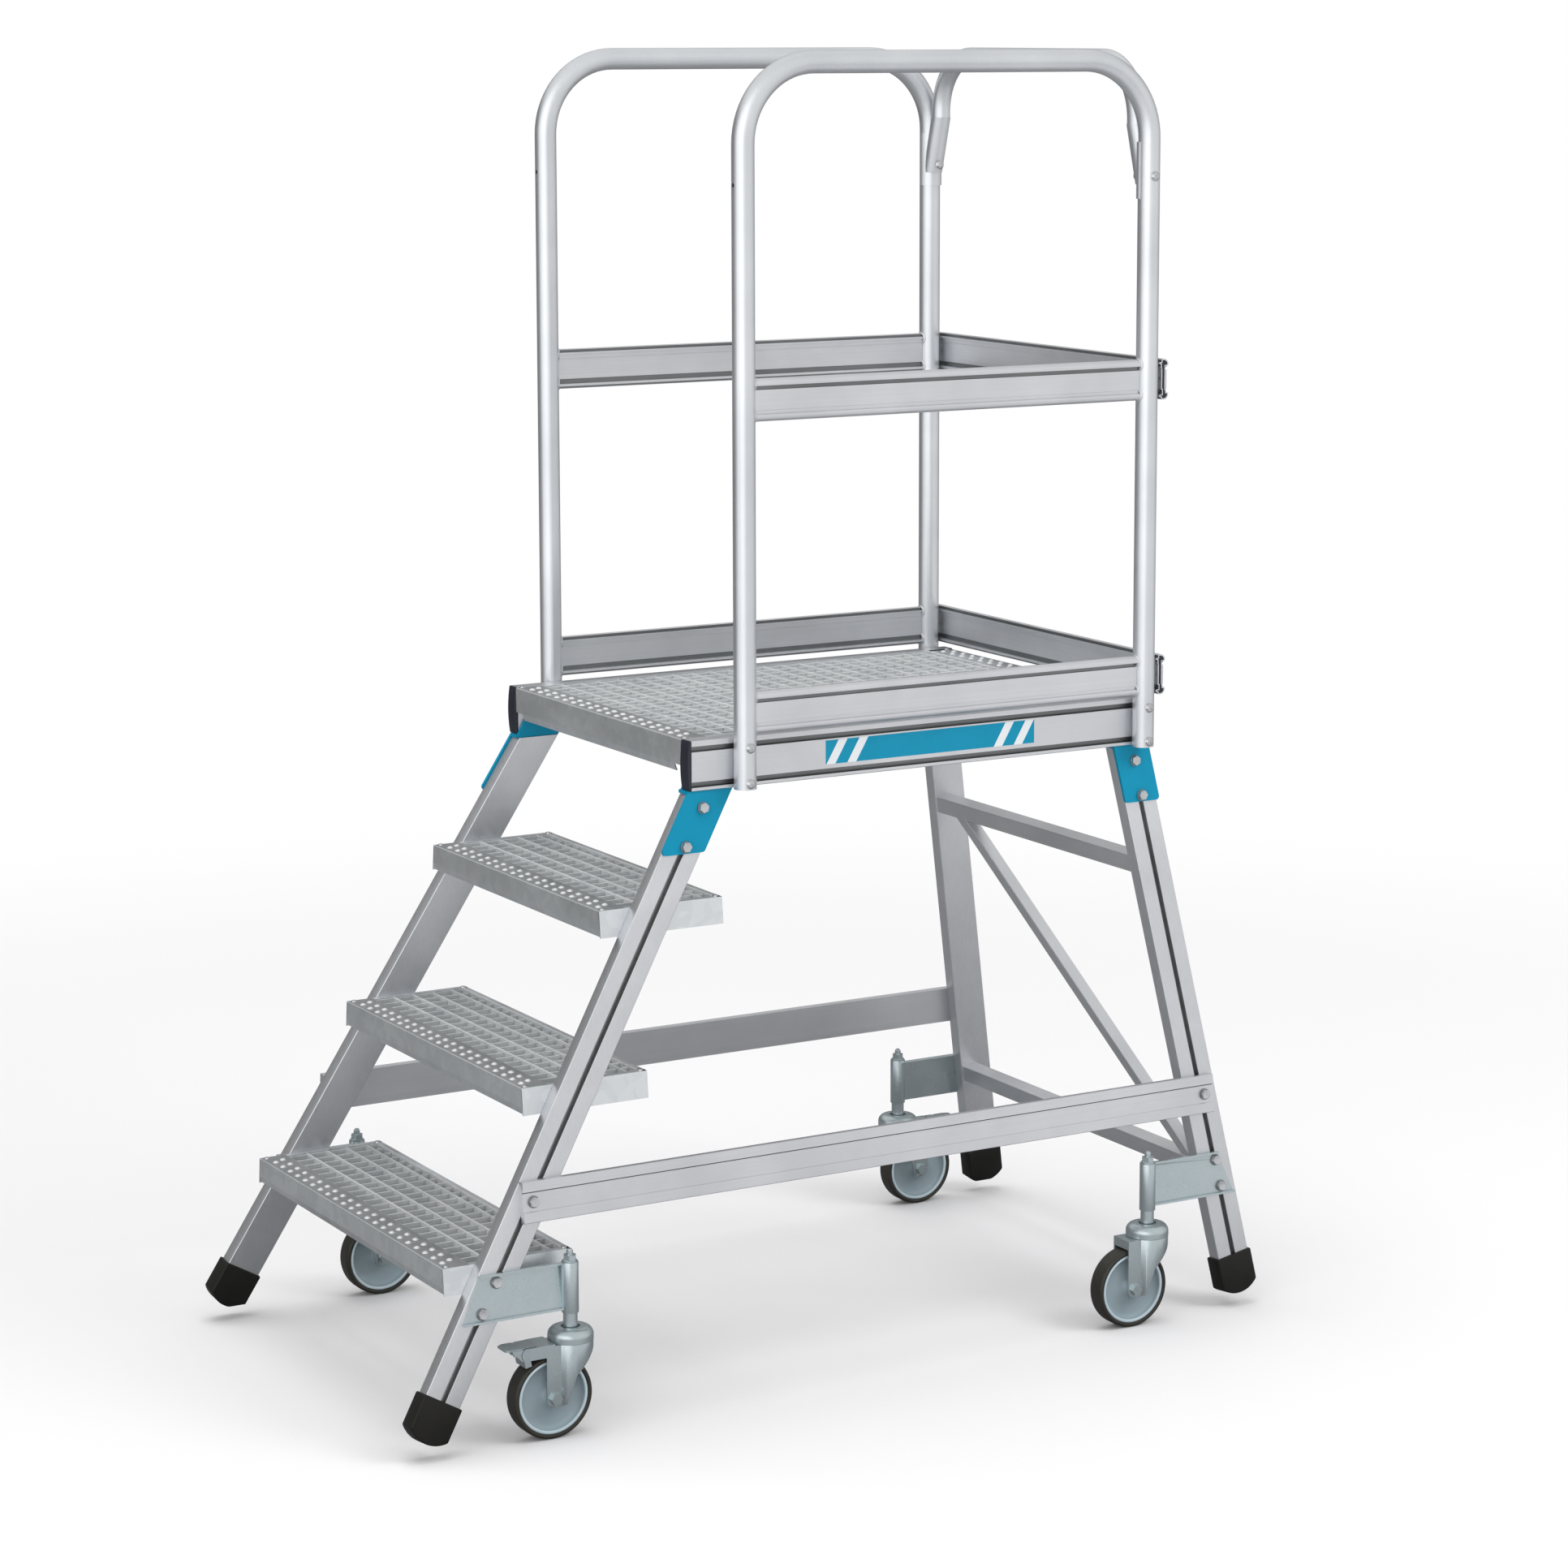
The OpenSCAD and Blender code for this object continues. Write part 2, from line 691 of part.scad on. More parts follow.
// Corner bracket: sloping plate on the stile, web under the deck profile and flange on its inner face
module corner_bracket(side, front) color(blue) {
    run = front ? tan(front_lean) : -tan(rear_lean);
    half = (front ? front_half_w : rear_half_w) + bracket_over;
    top_x = front ? front_top_x : rear_top_x;
    high = stile_w;
    low = -bracket_len;
    flange_h = deck_z - deck_apron_h - flange_gap - stile_top_z;
    flange_run = flange_h * run;
    corners = [for (s = [low, high]) [for (e = [-half, half]) [top_x + s * run + e, s]]];
    union() {
        intersection() {
            side_plane(side) difference() {
                slab_xz(-bracket_t, 0)
                    round_polygon([corners[0][0], corners[0][1], corners[1][1], corners[1][0]],
                        [bracket_round, bracket_round, bracket_round, bracket_round]);
                for (drop = bracket_bolt_drops) translate([top_x - drop * run, 0, -drop])
                    pin_y(bolt_d / 2 + bolt_fit, -bracket_t - overrun, overrun);
            }
            below(deck_bottom);
        }
        on_side(side) translate([top_x - half, -stile_top_half, stile_top_z])
            cube([2 * half, stile_top_half - deck_inner + bracket_t, bracket_t]);
        on_side(side) translate([top_x, 0, stile_top_z]) slab_xz(-deck_inner, bracket_t - deck_inner)
            polygon([[-half, 0], [half, 0], [half + flange_run, flange_h], [flange_run - half, flange_h]]);
    }
}

module front_brackets() for (side = [right, left]) corner_bracket(side, true);
module rear_brackets() for (side = [right, left]) corner_bracket(side, false);

// Tube wall, with its seam turned to an angle that is clear of the holes and runs on round the bends
module tube_ring(r, seam) rotate(seam) difference() {
    circle(r);
    circle(r - tube_wall);
}

// Quarter bend of a tube, from +X round to +Y
module tube_bend(r, bend) rotate_extrude(angle = 90) translate([bend, 0]) tube_ring(r, 45);

// Side guard's post, in the plane y = 0
module post(seam) linear_extrude(guard_top - guard_bend - deck_bottom) tube_ring(post_r, seam);

// Front post and its bend
module guard_front() union() {
    difference() {
        translate([front_post_x, 0, deck_bottom]) post(225);
        for (z = slot_heights) translate([front_post_x, 0, z])
            pin_y(bolt_d / 2 + bolt_fit, -post_r - overrun, post_r + overrun);
        translate([front_post_x, 0, guard_top - chain_hole_drop]) rotate([0, -90, 0])
            cylinder(d = chain_hole_d, h = post_r + overrun);
    }
    translate([front_post_x + guard_bend, 0, guard_top - guard_bend]) rotate([90, 0, 0]) rotate([0, 0, 90])
        tube_bend(post_r, guard_bend);
}

// Rear post and its bend
module guard_rear() union() {
    difference() {
        translate([rear_post_x, 0, deck_bottom]) post(315);
        for (z = concat(slot_heights, [saddle_bolt_z])) translate([rear_post_x, 0, z])
            pin_y(bolt_d / 2 + bolt_fit, -post_r - overrun, post_r + overrun);
        for (z = rail_heights) translate([rear_post_x, 0, z]) rotate([0, 90, 0])
            cylinder(r = bolt_d / 2 + bolt_fit, h = post_r + overrun);
    }
    translate([rear_post_x - guard_bend, 0, guard_top - guard_bend]) rotate([90, 0, 0])
        tube_bend(post_r, guard_bend);
}

module guard(side) color(alloy) on_side(side) translate([0, -post_y, 0]) union() {
    guard_front();
    guard_rear();
    translate([0, 0, guard_top]) slab_yz(front_post_x + guard_bend, rear_post_x - guard_bend)
        tube_ring(post_r, 135);
}

// Double-bead outline about its middle, drawn in X and Y with Y up
module rail_outline(inset) {
    for (e = [-1, 1]) translate([0, e * (rail_h / 2 - bead_r)]) circle(bead_r - inset);
    translate([inset - rail_web / 2, bead_r - rail_h / 2]) square([rail_web - 2 * inset, rail_h - bead_d]);
}

module rail_section() difference() {
    rail_outline(0);
    rail_outline(profile_wall);
}

// Side rail, coped to the posts
module side_rail(side, z) on_side(side) translate([0, -post_y, z]) difference() {
    slab_yz(front_post_x, rear_post_x) rail_section();
    for (x = [front_post_x, rear_post_x]) translate([x, 0, -rail_h])
        cylinder(r = post_r + seat_gap, h = 2 * rail_h);
}

module mid_rails() color(alloy) for (side = [right, left]) side_rail(side, rail_heights[0]);
module toe_boards() color(alloy) for (side = [right, left]) side_rail(side, rail_heights[1]);

module rear_rail(z) color(alloy) translate([rear_rail_x, 0, z]) difference() {
    slab_xz(-rear_rail_half, rear_rail_half) rail_section();
    for (side = [right, left]) translate([-rail_web, side * post_y, 0]) rotate([0, 90, 0])
        cylinder(r = bolt_d / 2 + bolt_fit, h = 2 * rail_web);
}

module rail_end_plugs() color(dark) for (side = [right, left], z = rail_heights)
    on_side(side) translate([rear_rail_x, 0, z])
        slab_xz(plug_inset - rear_rail_half, plug_inset + plug_len - rear_rail_half)
            rail_outline(profile_wall + plug_fit);

// Bent tube of the rear guard, in the plane of the rear posts
module rear_guard_tube() {
    bend_z = rear_guard_top - rear_bend;
    for (y = [-leg_y, leg_y]) translate([0, y, form_high]) linear_extrude(bend_z - form_high)
        tube_ring(rear_tube_r, 45);
    translate([0, 0, rear_guard_top]) slab_xz(rear_bend - leg_y, leg_y - rear_bend)
        tube_ring(rear_tube_r, 45);
    for (a = [0, 180]) rotate([0, 0, a]) translate([0, leg_y - rear_bend, bend_z])
        rotate([90, 0, 90]) tube_bend(rear_tube_r, rear_bend);
}

// Leg end pressed to a half shell round the post
module saddle() {
    intersection() {
        translate([0, -post_y, saddle_z]) cylinder(r = post_r + seat_gap + saddle_t, h = saddle_len);
        translate([-post_d, -post_y, saddle_z]) cube([2 * post_d, post_d, saddle_len]);
    }
    intersection() {
        translate([0, -leg_y, form_high]) rotate([-form_tilt, 0, 0])
            translate([0, 0, -2 * form_rise]) cylinder(r = rear_tube_r + form_swell, h = 3 * form_rise);
        translate([-post_d, -post_y, form_low]) cube([2 * post_d, post_y, form_rise]);
    }
}

module rear_guard() color(alloy) translate([rear_post_x, 0, 0]) difference() {
    union() {
        rear_guard_tube();
        for (side = [right, left]) on_side(side) saddle();
    }
    for (y = [-post_y, post_y]) translate([0, y, saddle_z - overrun])
        cylinder(r = post_r + seat_gap, h = guard_top - saddle_z);
    translate([0, 0, saddle_bolt_z]) pin_y(bolt_d / 2 + bolt_fit, -post_y, post_y);
}

// Stringer profile: x is inwards from the stiles' outer face, y is up the frame
module stringer_section() {
    web = stringer_t - band_proud;
    difference() {
        union() {
            translate([-web, -stringer_h / 2]) square([web, stringer_h]);
            translate([-stringer_t, stringer_h / 2 - band_upper]) square([stringer_t, band_upper]);
            translate([-stringer_t, -stringer_h / 2]) square([stringer_t, band_lower]);
        }
        translate([profile_wall - web, profile_wall - stringer_h / 2])
            square([web - 2 * profile_wall, stringer_h - 2 * profile_wall]);
    }
}

module stringer(side) color(alloy) side_plane(side) translate([0, 0, stringer_s]) difference() {
    slab_yz(front_stringer_x - stringer_end, rear_stringer_x + stringer_end) stringer_section();
    for (x = [front_stringer_x, rear_stringer_x]) translate([x, 0, 0])
        pin_y(bolt_d / 2 + bolt_fit, -stringer_t - overrun, overrun);
}

// Space between the inner faces of the side frames
module between_frames() {
    low = inner_y(0);
    high = inner_y(stile_top_z);
    slab_yz(-room / 2, room / 2) polygon([[-low, 0], [low, 0], [high, stile_top_z], [-high, stile_top_z]]);
}

// Plane of the rear stiles' front faces at height z, with +X backwards and +Z up the stiles
module rear_plane(z)
    translate([rear_axis_x(z) - rear_half_w, 0, z]) rotate([0, -atan(rear_run), 0]) children();

module cross_outline() difference() {
    round_box(cross_set, -cross_h / 2, cross_w, cross_h, edge_round);
    translate([cross_set + tube_t, tube_t - cross_h / 2])
        square([cross_w - 2 * tube_t, cross_h - 2 * tube_t]);
}

module cross_tube(z) color(alloy) intersection() {
    rear_plane(z) slab_xz(-inner_y(0), inner_y(0)) cross_outline();
    between_frames();
}

module brace_outline() difference() {
    round_box(0, -brace_w / 2, brace_w, brace_w, edge_round);
    translate([tube_t, tube_t - brace_w / 2]) square([brace_w - 2 * tube_t, brace_w - 2 * tube_t]);
}

// Diagonal from the upper tube at the left stile to the lower tube at the right stile
module diagonal_brace() color(alloy) {
    span = (cross_upper_z - cross_lower_z) / cos(atan(rear_run));
    top_y = inner_y(cross_upper_z) - brace_top_end;
    low_y = brace_low_end - inner_y(cross_lower_z);
    tilt = atan2(top_y - low_y, span);
    long = norm([span, top_y - low_y]);
    set = cross_set + (cross_w - brace_w) / 2;
    clear = cross_h / 2;
    rear_plane(cross_lower_z) intersection() {
        translate([set, low_y, 0]) rotate([-tilt, 0, 0]) translate([0, 0, -cross_h])
            linear_extrude(long + 2 * cross_h) brace_outline();
        translate([0, -room / 2, clear]) cube([cross_w + 2 * cross_set, room, span - 2 * clear]);
    }
}

// Bolt along +Z, drawn from the washer's seat, with the shank below
module hex_bolt(shank) {
    translate([0, 0, -shank]) cylinder(d = bolt_d, h = shank + plate_washer_t);
    cylinder(r = plate_washer_r, h = plate_washer_t);
    translate([0, 0, plate_washer_t]) cylinder(d = hex_af / cos(30), h = hex_h, $fn = 6);
}

module button_bolt(shank) {
    translate([0, 0, -shank]) cylinder(d = bolt_d, h = shank);
    cylinder(r1 = button_r, r2 = button_top_r, h = button_h);
}

// Turns +Z to point out of the right-hand side
module outwards() rotate([90, 0, 0]) children();

// Places on the stiles' centre lines at height z of the outer face
module on_stile(front, z, lift) {
    x = front ? front_axis_x(z) : rear_axis_x(z);
    translate([x, -lift, frame_s(z)]) outwards() children();
}

module hex_bolts() color(zinc) for (side = [right, left]) side_plane(side) {
    slot_reach = slot_depth - bolt_short;
    for (front = [true, false]) {
        for (drop = bracket_bolt_drops)
            on_stile(front, stile_top_z - drop * cos(splay), bracket_t) hex_bolt(bracket_t + slot_reach);
        on_stile(front, stringer_z, stringer_t - band_proud) hex_bolt(stringer_t - band_proud + slot_reach);
        for (z = [channel_z + channel_bolt_set, channel_top - channel_bolt_set])
            on_stile(front, z, fork_t) hex_bolt(fork_t + slot_reach);
    }
}

module button_bolts() color(zinc) for (side = [right, left]) on_side(side) {
    out = -post_y - post_r;
    for (x = [front_post_x, rear_post_x], z = slot_heights) translate([x, out, z]) outwards()
        button_bolt(post_d + seat_gap + slot_depth - bolt_short);
    translate([rear_post_x, out, saddle_bolt_z]) {
        outwards() button_bolt(-saddle_nut_y - out);
        translate([0, -saddle_nut_y - out, 0]) rotate([-90, 0, 0])
            cylinder(r1 = button_r, r2 = button_top_r, h = button_h);
    }
    for (z = rail_heights) translate([rear_rail_x + rail_web / 2, -post_y, z]) rotate([0, 90, 0])
        button_bolt(rail_web / 2 + rear_rail_x - rear_post_x - post_r + 2 * tube_wall);
}

// Castor bracket: channel on the stile, welded to the upright spring housing
module housing(side, front) color(zinc) {
    x = front ? front_castor_x : rear_castor_x;
    way = front ? -1 : 1;
    s0 = frame_s(channel_z);
    s1 = frame_s(channel_top);
    difference() {
        union() {
            side_plane(side) {
                slab_xz(-fork_t, 0)
                    polygon([[x, s0], [x + way * channel_low, s0], [x + way * channel_high, s1], [x, s1]]);
                slab_xz(-channel_flange, 0)
                    polygon([[x, s0], [x + way * channel_low, s0], [x + way * channel_low, s0 + fork_t],
                        [x, s0 + fork_t]]);
                slab_xz(-channel_flange, 0)
                    polygon([[x, s1 - fork_t], [x + way * channel_high, s1 - fork_t],
                        [x + way * channel_high, s1], [x, s1]]);
            }
            on_side(side) translate([x, -castor_y, housing_z]) cylinder(d = housing_d, h = housing_len);
        }
        on_side(side) translate([x, -castor_y, housing_z - overrun])
            cylinder(r = bore_r, h = housing_len - housing_cap + overrun);
        on_side(side) translate([x, -castor_y, housing_z])
            cylinder(r = stud_r + stud_fit, h = housing_len + overrun);
        side_plane(side) for (z = [channel_z + channel_bolt_set, channel_top - channel_bolt_set])
            on_stile(front, z, 0) translate([0, 0, -overrun])
                cylinder(r = bolt_d / 2 + bolt_fit, h = fork_t + 2 * overrun);
    }
}

// Castor frame: swivel axis on Z, the wheel trails to -X on the right and to +X on the left
module castor_frame(side, front)
    translate([front ? front_castor_x : rear_castor_x, side * castor_y, 0])
        rotate([0, 0, side > 0 ? 180 : 0]) children();

// Round wire wound from z0 to z1, as one closed tube
module coil(z0, z1) {
    rings = spring_turns * ring_steps;
    rise = (z1 - z0 - 2 * spring_wire_r) / rings;
    points = [for (i = [0 : rings], j = [0 : wire_sides - 1])
        let (
            a = 360 * i / ring_steps,
            b = 360 * j / wire_sides,
            r = spring_r + spring_wire_r * cos(b)
        )
        [r * cos(a), r * sin(a), z0 + spring_wire_r + i * rise + spring_wire_r * sin(b)]];
    sides = [for (i = [0 : rings - 1], j = [0 : wire_sides - 1])
        let (
            k = (j + 1) % wire_sides,
            p = i * wire_sides,
            q = p + wire_sides
        )
        each [[p + j, p + k, q + j], [p + k, q + k, q + j]]];
    last = rings * wire_sides;
    caps = [for (j = [1 : wire_sides - 2])
        each [[0, j + 1, j], [last, last + j, last + j + 1]]];
    polyhedron(points, concat(sides, caps));
}

module spring(side, front) color(zinc) castor_frame(side, front) coil(spring_low, spring_high);

// Swivel head: domed cup with a recess round the stem
module swivel_head() rotate_extrude() difference() {
    r = head_d / 2;
    union() {
        square([r - head_round, head_h]);
        square([r, head_h - head_round]);
        translate([r - head_round, head_h - head_round]) intersection() {
            circle(head_round);
            square([head_round, head_round]);
        }
    }
    translate([0, head_h - head_recess]) square([head_recess_r, head_recess + overrun]);
}

module plunger(side, front) color(zinc) castor_frame(side, front) union() {
    rivet_z = crown_z - swivel_gap - rivet_t;
    nut_z = housing_top + seat_gap;
    translate([0, 0, head_z]) swivel_head();
    translate([0, 0, recess_z]) cylinder(r = stem_r, h = housing_z + stem_engage - recess_z);
    translate([0, 0, housing_z]) cylinder(r = stud_r, h = housing_len + stud_top - stud_tip_h);
    translate([0, 0, housing_top + stud_top - stud_tip_h])
        cylinder(r1 = stud_r, r2 = stud_tip_r, h = stud_tip_h);
    translate([0, 0, nut_z]) cylinder(r = washer_r, h = washer_t);
    translate([0, 0, nut_z + washer_t]) cylinder(d = nut_af / cos(30), h = nut_h, $fn = 6);
    translate([0, 0, rivet_z]) cylinder(r = king_r, h = head_z - rivet_z + overrun);
    translate([0, 0, rivet_z]) cylinder(r = rivet_r, h = rivet_t);
}

// Leg seen from the side, with its leading edge drawn in
module fork_leg() difference() {
    toe_z = axle_z - leg_toe_drop;
    round_polygon(
        [[-leg_trail, crown_z + crown_t], [leg_lead, crown_z + crown_t],
            [leg_half - trail, axle_z - leg_drop], [-leg_half - trail, axle_z - leg_drop]],
        [leg_top_round, leg_top_round, leg_round, leg_round]);
    polygon([[leg_lead + overrun, crown_z], [leg_neck - trail, crown_z - leg_neck_drop],
        [leg_toe - trail, toe_z], [leg_lead + overrun, toe_z]]);
}

// Plan of the fork: flat legs that run into a round cup
module fork_plan(inset) {
    circle(cup_r - inset);
    translate([-leg_trail - inset, inset - leg_outer]) square([leg_trail + inset, 2 * (leg_outer - inset)]);
}

module fork_shell() intersection() {
    low = axle_z - leg_drop - overrun;
    union() {
        translate([0, 0, crown_z]) linear_extrude(crown_t) fork_plan(0);
        translate([0, 0, low]) linear_extrude(crown_z - low) difference() {
            fork_plan(0);
            fork_plan(fork_t);
        }
    }
    slab_xz(-cup_r - overrun, cup_r + overrun) fork_leg();
}

// Cheeks that carry the pedal's pin, tied by a cover plate
module brake_cheeks() {
    reach = fork_t - leg_trail - pivot_x;
    for (m = [0, 1]) mirror([0, m, 0]) translate([pivot_x, 0, pivot_z]) slab_xz(leg_inner, leg_outer) {
        circle(cheek_r);
        translate([0, -cheek_r]) square([reach, 2 * cheek_r]);
    }
    translate([-cover_back, -leg_outer, crown_z + crown_t])
        cube([cover_back - cover_front, 2 * leg_outer, fork_t]);
}

module fork(side, front, braked) color(zinc) castor_frame(side, front) difference() {
    union() {
        fork_shell();
        if (braked) brake_cheeks();
        else translate([-leg_trail, -leg_outer, crown_z + crown_t - flap_h])
            cube([fork_t, 2 * leg_outer, flap_h]);
    }
    translate([0, 0, crown_z - overrun]) cylinder(r = king_r + running_fit, h = crown_t + 2 * overrun);
    translate([-trail, 0, axle_z])
        pin_y(axle_d / 2 + running_fit, -leg_outer - overrun, leg_outer + overrun);
    if (braked) translate([pivot_x, 0, pivot_z])
        pin_y(pin_r + running_fit, -leg_outer - overrun, leg_outer + overrun);
}

module axle(side, front) color(zinc) castor_frame(side, front) translate([-trail, 0, axle_z]) {
    pin_y(axle_d / 2, -leg_outer, leg_outer);
    for (m = [0, 1]) mirror([0, m, 0]) translate([0, leg_outer, 0]) rotate([-90, 0, 0])
        cylinder(d = axle_head_af / cos(30), h = axle_head_h, $fn = 6);
}

module wheel(side, front) color(rim_grey) castor_frame(side, front) translate([-trail, 0, axle_z])
    rotate([90, 0, 0]) rotate_extrude() {
        hub_half = leg_inner - hub_side_gap;
        bore = axle_d / 2 + running_fit;
        translate([bore, -hub_half]) square([hub_r - bore, 2 * hub_half]);
        translate([bore, -disc_half]) square([rim_r - bore, 2 * disc_half]);
        translate([rim_r - rim_t, -rim_half]) square([rim_t, 2 * rim_half]);
    }

module tyre(side, front) color(tyre_dark) castor_frame(side, front) translate([-trail, 0, axle_z])
    rotate([90, 0, 0]) rotate_extrude() intersection() {
        r = wheel_d / 2;
        low = rim_r - tyre_t;
        translate([rim_r, -tyre_w / 2]) square([tyre_t, tyre_w]);
        round_polygon([[low, -tyre_w / 2], [r, -tyre_w / 2], [r, tyre_w / 2], [low, tyre_w / 2]],
            [leg_top_round, tyre_round, tyre_round, leg_top_round]);
    }

// Skirt of the pedal, seen from the side, round the cheek's end
module skirt_outline() difference() {
    slit = cheek_r + skirt_gap;
    polygon([[-skirt_end, skirt_top], [-skirt_far, skirt_top], [-skirt_tooth, 0], [-skirt_step, 0],
        [-skirt_nick, -skirt_nick_low], [-skirt_heel, -skirt_low], [-skirt_end, -skirt_low]]);
    circle(slit);
}

// Pedal on its pin: hub, tread plate, skirts and the cam that presses on the tyre
module pedal(side, front) color(zinc) castor_frame(side, front) translate([pivot_x, 0, pivot_z]) {
    tip_cut = pedal_tip + overrun;
    union() {
        pin_y(pin_r, -leg_outer, leg_outer);
        difference() {
            slab_xz(-pedal_half, pedal_half) {
                circle(pedal_hub_r);
                rotate(-cam_angle) translate([-cam_half, -cam_len]) square([2 * cam_half, cam_len]);
                translate([-pedal_neck, 0]) square([2 * pedal_neck, pedal_rise - fork_t / 2]);
                translate([-pedal_tip, pedal_rise - fork_t]) square([pedal_tip + pedal_front, fork_t]);
            }
            for (m = [0, 1]) mirror([0, m, 0]) linear_extrude(pedal_rise + overrun)
                polygon([[taper_len - pedal_tip, pedal_half + overrun], [-tip_cut, pedal_half + overrun],
                    [-tip_cut, tip_half]]);
        }
        for (m = [0, 1]) mirror([0, m, 0])
            slab_xz(pedal_half - skirt_bite, pedal_half + skirt_out) skirt_outline();
    }
}

stile(right, true);  // front_stile_right
stile(left, true);  // front_stile_left
stile(right, false);  // rear_stile_right
stile(left, false);  // rear_stile_left
rubber_feet();
tread(1);  // tread_lower
tread(2);  // tread_middle
tread(tread_count);  // tread_upper
deck_side(right);  // deck_side_right
deck_side(left);  // deck_side_left
deck_grating();
deck_end_caps();
side_labels();
front_brackets();
rear_brackets();
guard(right);  // guard_right
guard(left);  // guard_left
mid_rails();
toe_boards();
rear_guard();
rear_rail(rail_heights[0]);  // rear_mid_rail
rear_rail(rail_heights[1]);  // rear_toe_board
rail_end_plugs();
stringer(right);  // stringer_right
stringer(left);  // stringer_left
cross_tube(cross_upper_z);  // cross_tube_upper
cross_tube(cross_lower_z);  // cross_tube_lower
diagonal_brace();
hex_bolts();
button_bolts();
housing(right, true);  // front_right_housing
spring(right, true);  // front_right_spring
plunger(right, true);  // front_right_plunger
fork(right, true, true);  // front_right_fork
axle(right, true);  // front_right_axle
wheel(right, true);  // front_right_wheel
tyre(right, true);  // front_right_tyre
pedal(right, true);  // front_right_pedal
housing(left, true);  // front_left_housing
spring(left, true);  // front_left_spring
plunger(left, true);  // front_left_plunger
fork(left, true, false);  // front_left_fork
axle(left, true);  // front_left_axle
wheel(left, true);  // front_left_wheel
tyre(left, true);  // front_left_tyre
housing(right, false);  // rear_right_housing
spring(right, false);  // rear_right_spring
plunger(right, false);  // rear_right_plunger
fork(right, false, false);  // rear_right_fork
axle(right, false);  // rear_right_axle
wheel(right, false);  // rear_right_wheel
tyre(right, false);  // rear_right_tyre
housing(left, false);  // rear_left_housing
spring(left, false);  // rear_left_spring
plunger(left, false);  // rear_left_plunger
fork(left, false, true);  // rear_left_fork
axle(left, false);  // rear_left_axle
wheel(left, false);  // rear_left_wheel
tyre(left, false);  // rear_left_tyre
pedal(left, false);  // rear_left_pedal
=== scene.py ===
import json
from math import cos, pi, radians, sin, sqrt, tan

import bmesh
import bpy
from mathutils import Matrix, Vector


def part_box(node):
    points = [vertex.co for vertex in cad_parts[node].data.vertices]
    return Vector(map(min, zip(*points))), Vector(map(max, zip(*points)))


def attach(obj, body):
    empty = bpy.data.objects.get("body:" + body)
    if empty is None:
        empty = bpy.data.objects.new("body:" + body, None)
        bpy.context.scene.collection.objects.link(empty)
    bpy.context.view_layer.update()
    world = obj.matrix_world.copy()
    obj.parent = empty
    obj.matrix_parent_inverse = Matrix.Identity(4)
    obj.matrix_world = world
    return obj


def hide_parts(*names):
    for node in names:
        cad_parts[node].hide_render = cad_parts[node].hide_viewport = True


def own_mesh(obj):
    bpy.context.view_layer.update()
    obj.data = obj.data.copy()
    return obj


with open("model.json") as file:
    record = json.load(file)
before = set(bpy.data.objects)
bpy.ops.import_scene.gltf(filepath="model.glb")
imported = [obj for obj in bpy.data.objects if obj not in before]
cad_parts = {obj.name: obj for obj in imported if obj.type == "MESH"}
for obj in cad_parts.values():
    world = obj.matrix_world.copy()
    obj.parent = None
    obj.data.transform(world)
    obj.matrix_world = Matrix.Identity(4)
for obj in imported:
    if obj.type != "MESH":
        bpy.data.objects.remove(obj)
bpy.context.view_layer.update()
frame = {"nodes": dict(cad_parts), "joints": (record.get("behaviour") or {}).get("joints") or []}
nodes = frame["nodes"]
joint_at = {j["name"]: Vector(j["pos_m"]) for j in frame["joints"]}

# Sizes in metres, read from the solids where they can be
MM = 0.001
SPLAY = radians(6.25)
FRONT_LEAN = radians(30.3)
REAR_LEAN = radians(10.15)
RIGHT, LEFT = -1, 1
SIDES = ((RIGHT, "right"), (LEFT, "left"))
TREADS = ("tread_lower", "tread_middle", "tread_upper")
CASTORS = ("front_right", "front_left", "rear_right", "rear_left")

deck_lo, deck_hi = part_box("deck_side_right")
deck_front, deck_rear = deck_lo.x, deck_hi.x
deck_top, deck_low = deck_hi.z, deck_lo.z
deck_half = -deck_lo.y
bracket_sheet = 5 * MM
stile_top = deck_low - bracket_sheet
stile_half = deck_half - 8 * MM
stile_w, stile_t = 58 * MM, 25 * MM
profile_t = 25 * MM
# Middles of the stile tops
front_top = deck_front + 30.8 * MM
rear_top = deck_rear - 24.6 * MM
foot_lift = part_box("rubber_feet")[0].z
# Rubber boots: radius of the sole, what its flat takes off, depth of the stile below the sole's middle,
# and how far that middle is below the stile's top
sole_r, sole_flat, boot_seat = 46 * MM, 2 * MM, 20 * MM
boot_fall = stile_top - (foot_lift + sole_r - sole_flat) - stile_t / 2 * sin(SPLAY)
# Guard posts, and the bolts through them
post_r = 16.85 * MM
post_y = deck_half + 17 * MM
front_post = deck_front + 80 * MM
rear_post = deck_rear - 18 * MM
rail_levels = (deck_top + 496 * MM, deck_top + 37 * MM)
saddle_bolt = deck_top + (772 + 86 * 0.4) * MM
saddle_nut = 286.7 * MM
slot_levels = (deck_top - 12.5 * MM, deck_low + 9.5 * MM)
rear_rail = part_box("rear_mid_rail")
stringer_z = 347 * MM
castor_bolts = (197.5 * MM, 239.5 * MM)
# Printed strips, and the slant, pitch, width and end distance of their bars
strip_start, strip_len = deck_front + 227 * MM, 370 * MM
strip_low, strip_high = deck_low + 20 * MM, 36 * MM
BAR_SLANT, BAR_PITCH, BAR_WIDTH, BAR_SET = 0.59, 36.2 * MM, 15.3 * MM, 11.5 * MM
# Rail beads, millimetres: radius and distance from the rail's middle
BEAD_R, BEAD_Z = 8.5, 23
# Points closer than this are one point; sharper edges than this stay sharp
TOUCH = 1e-6
CREASE = radians(35)
# Pressed faces larger than this stay flat
FLAT_AREA = 300 * MM * MM


# Surface finishes

def link(tree, a, b):
    tree.links.new(a, b)


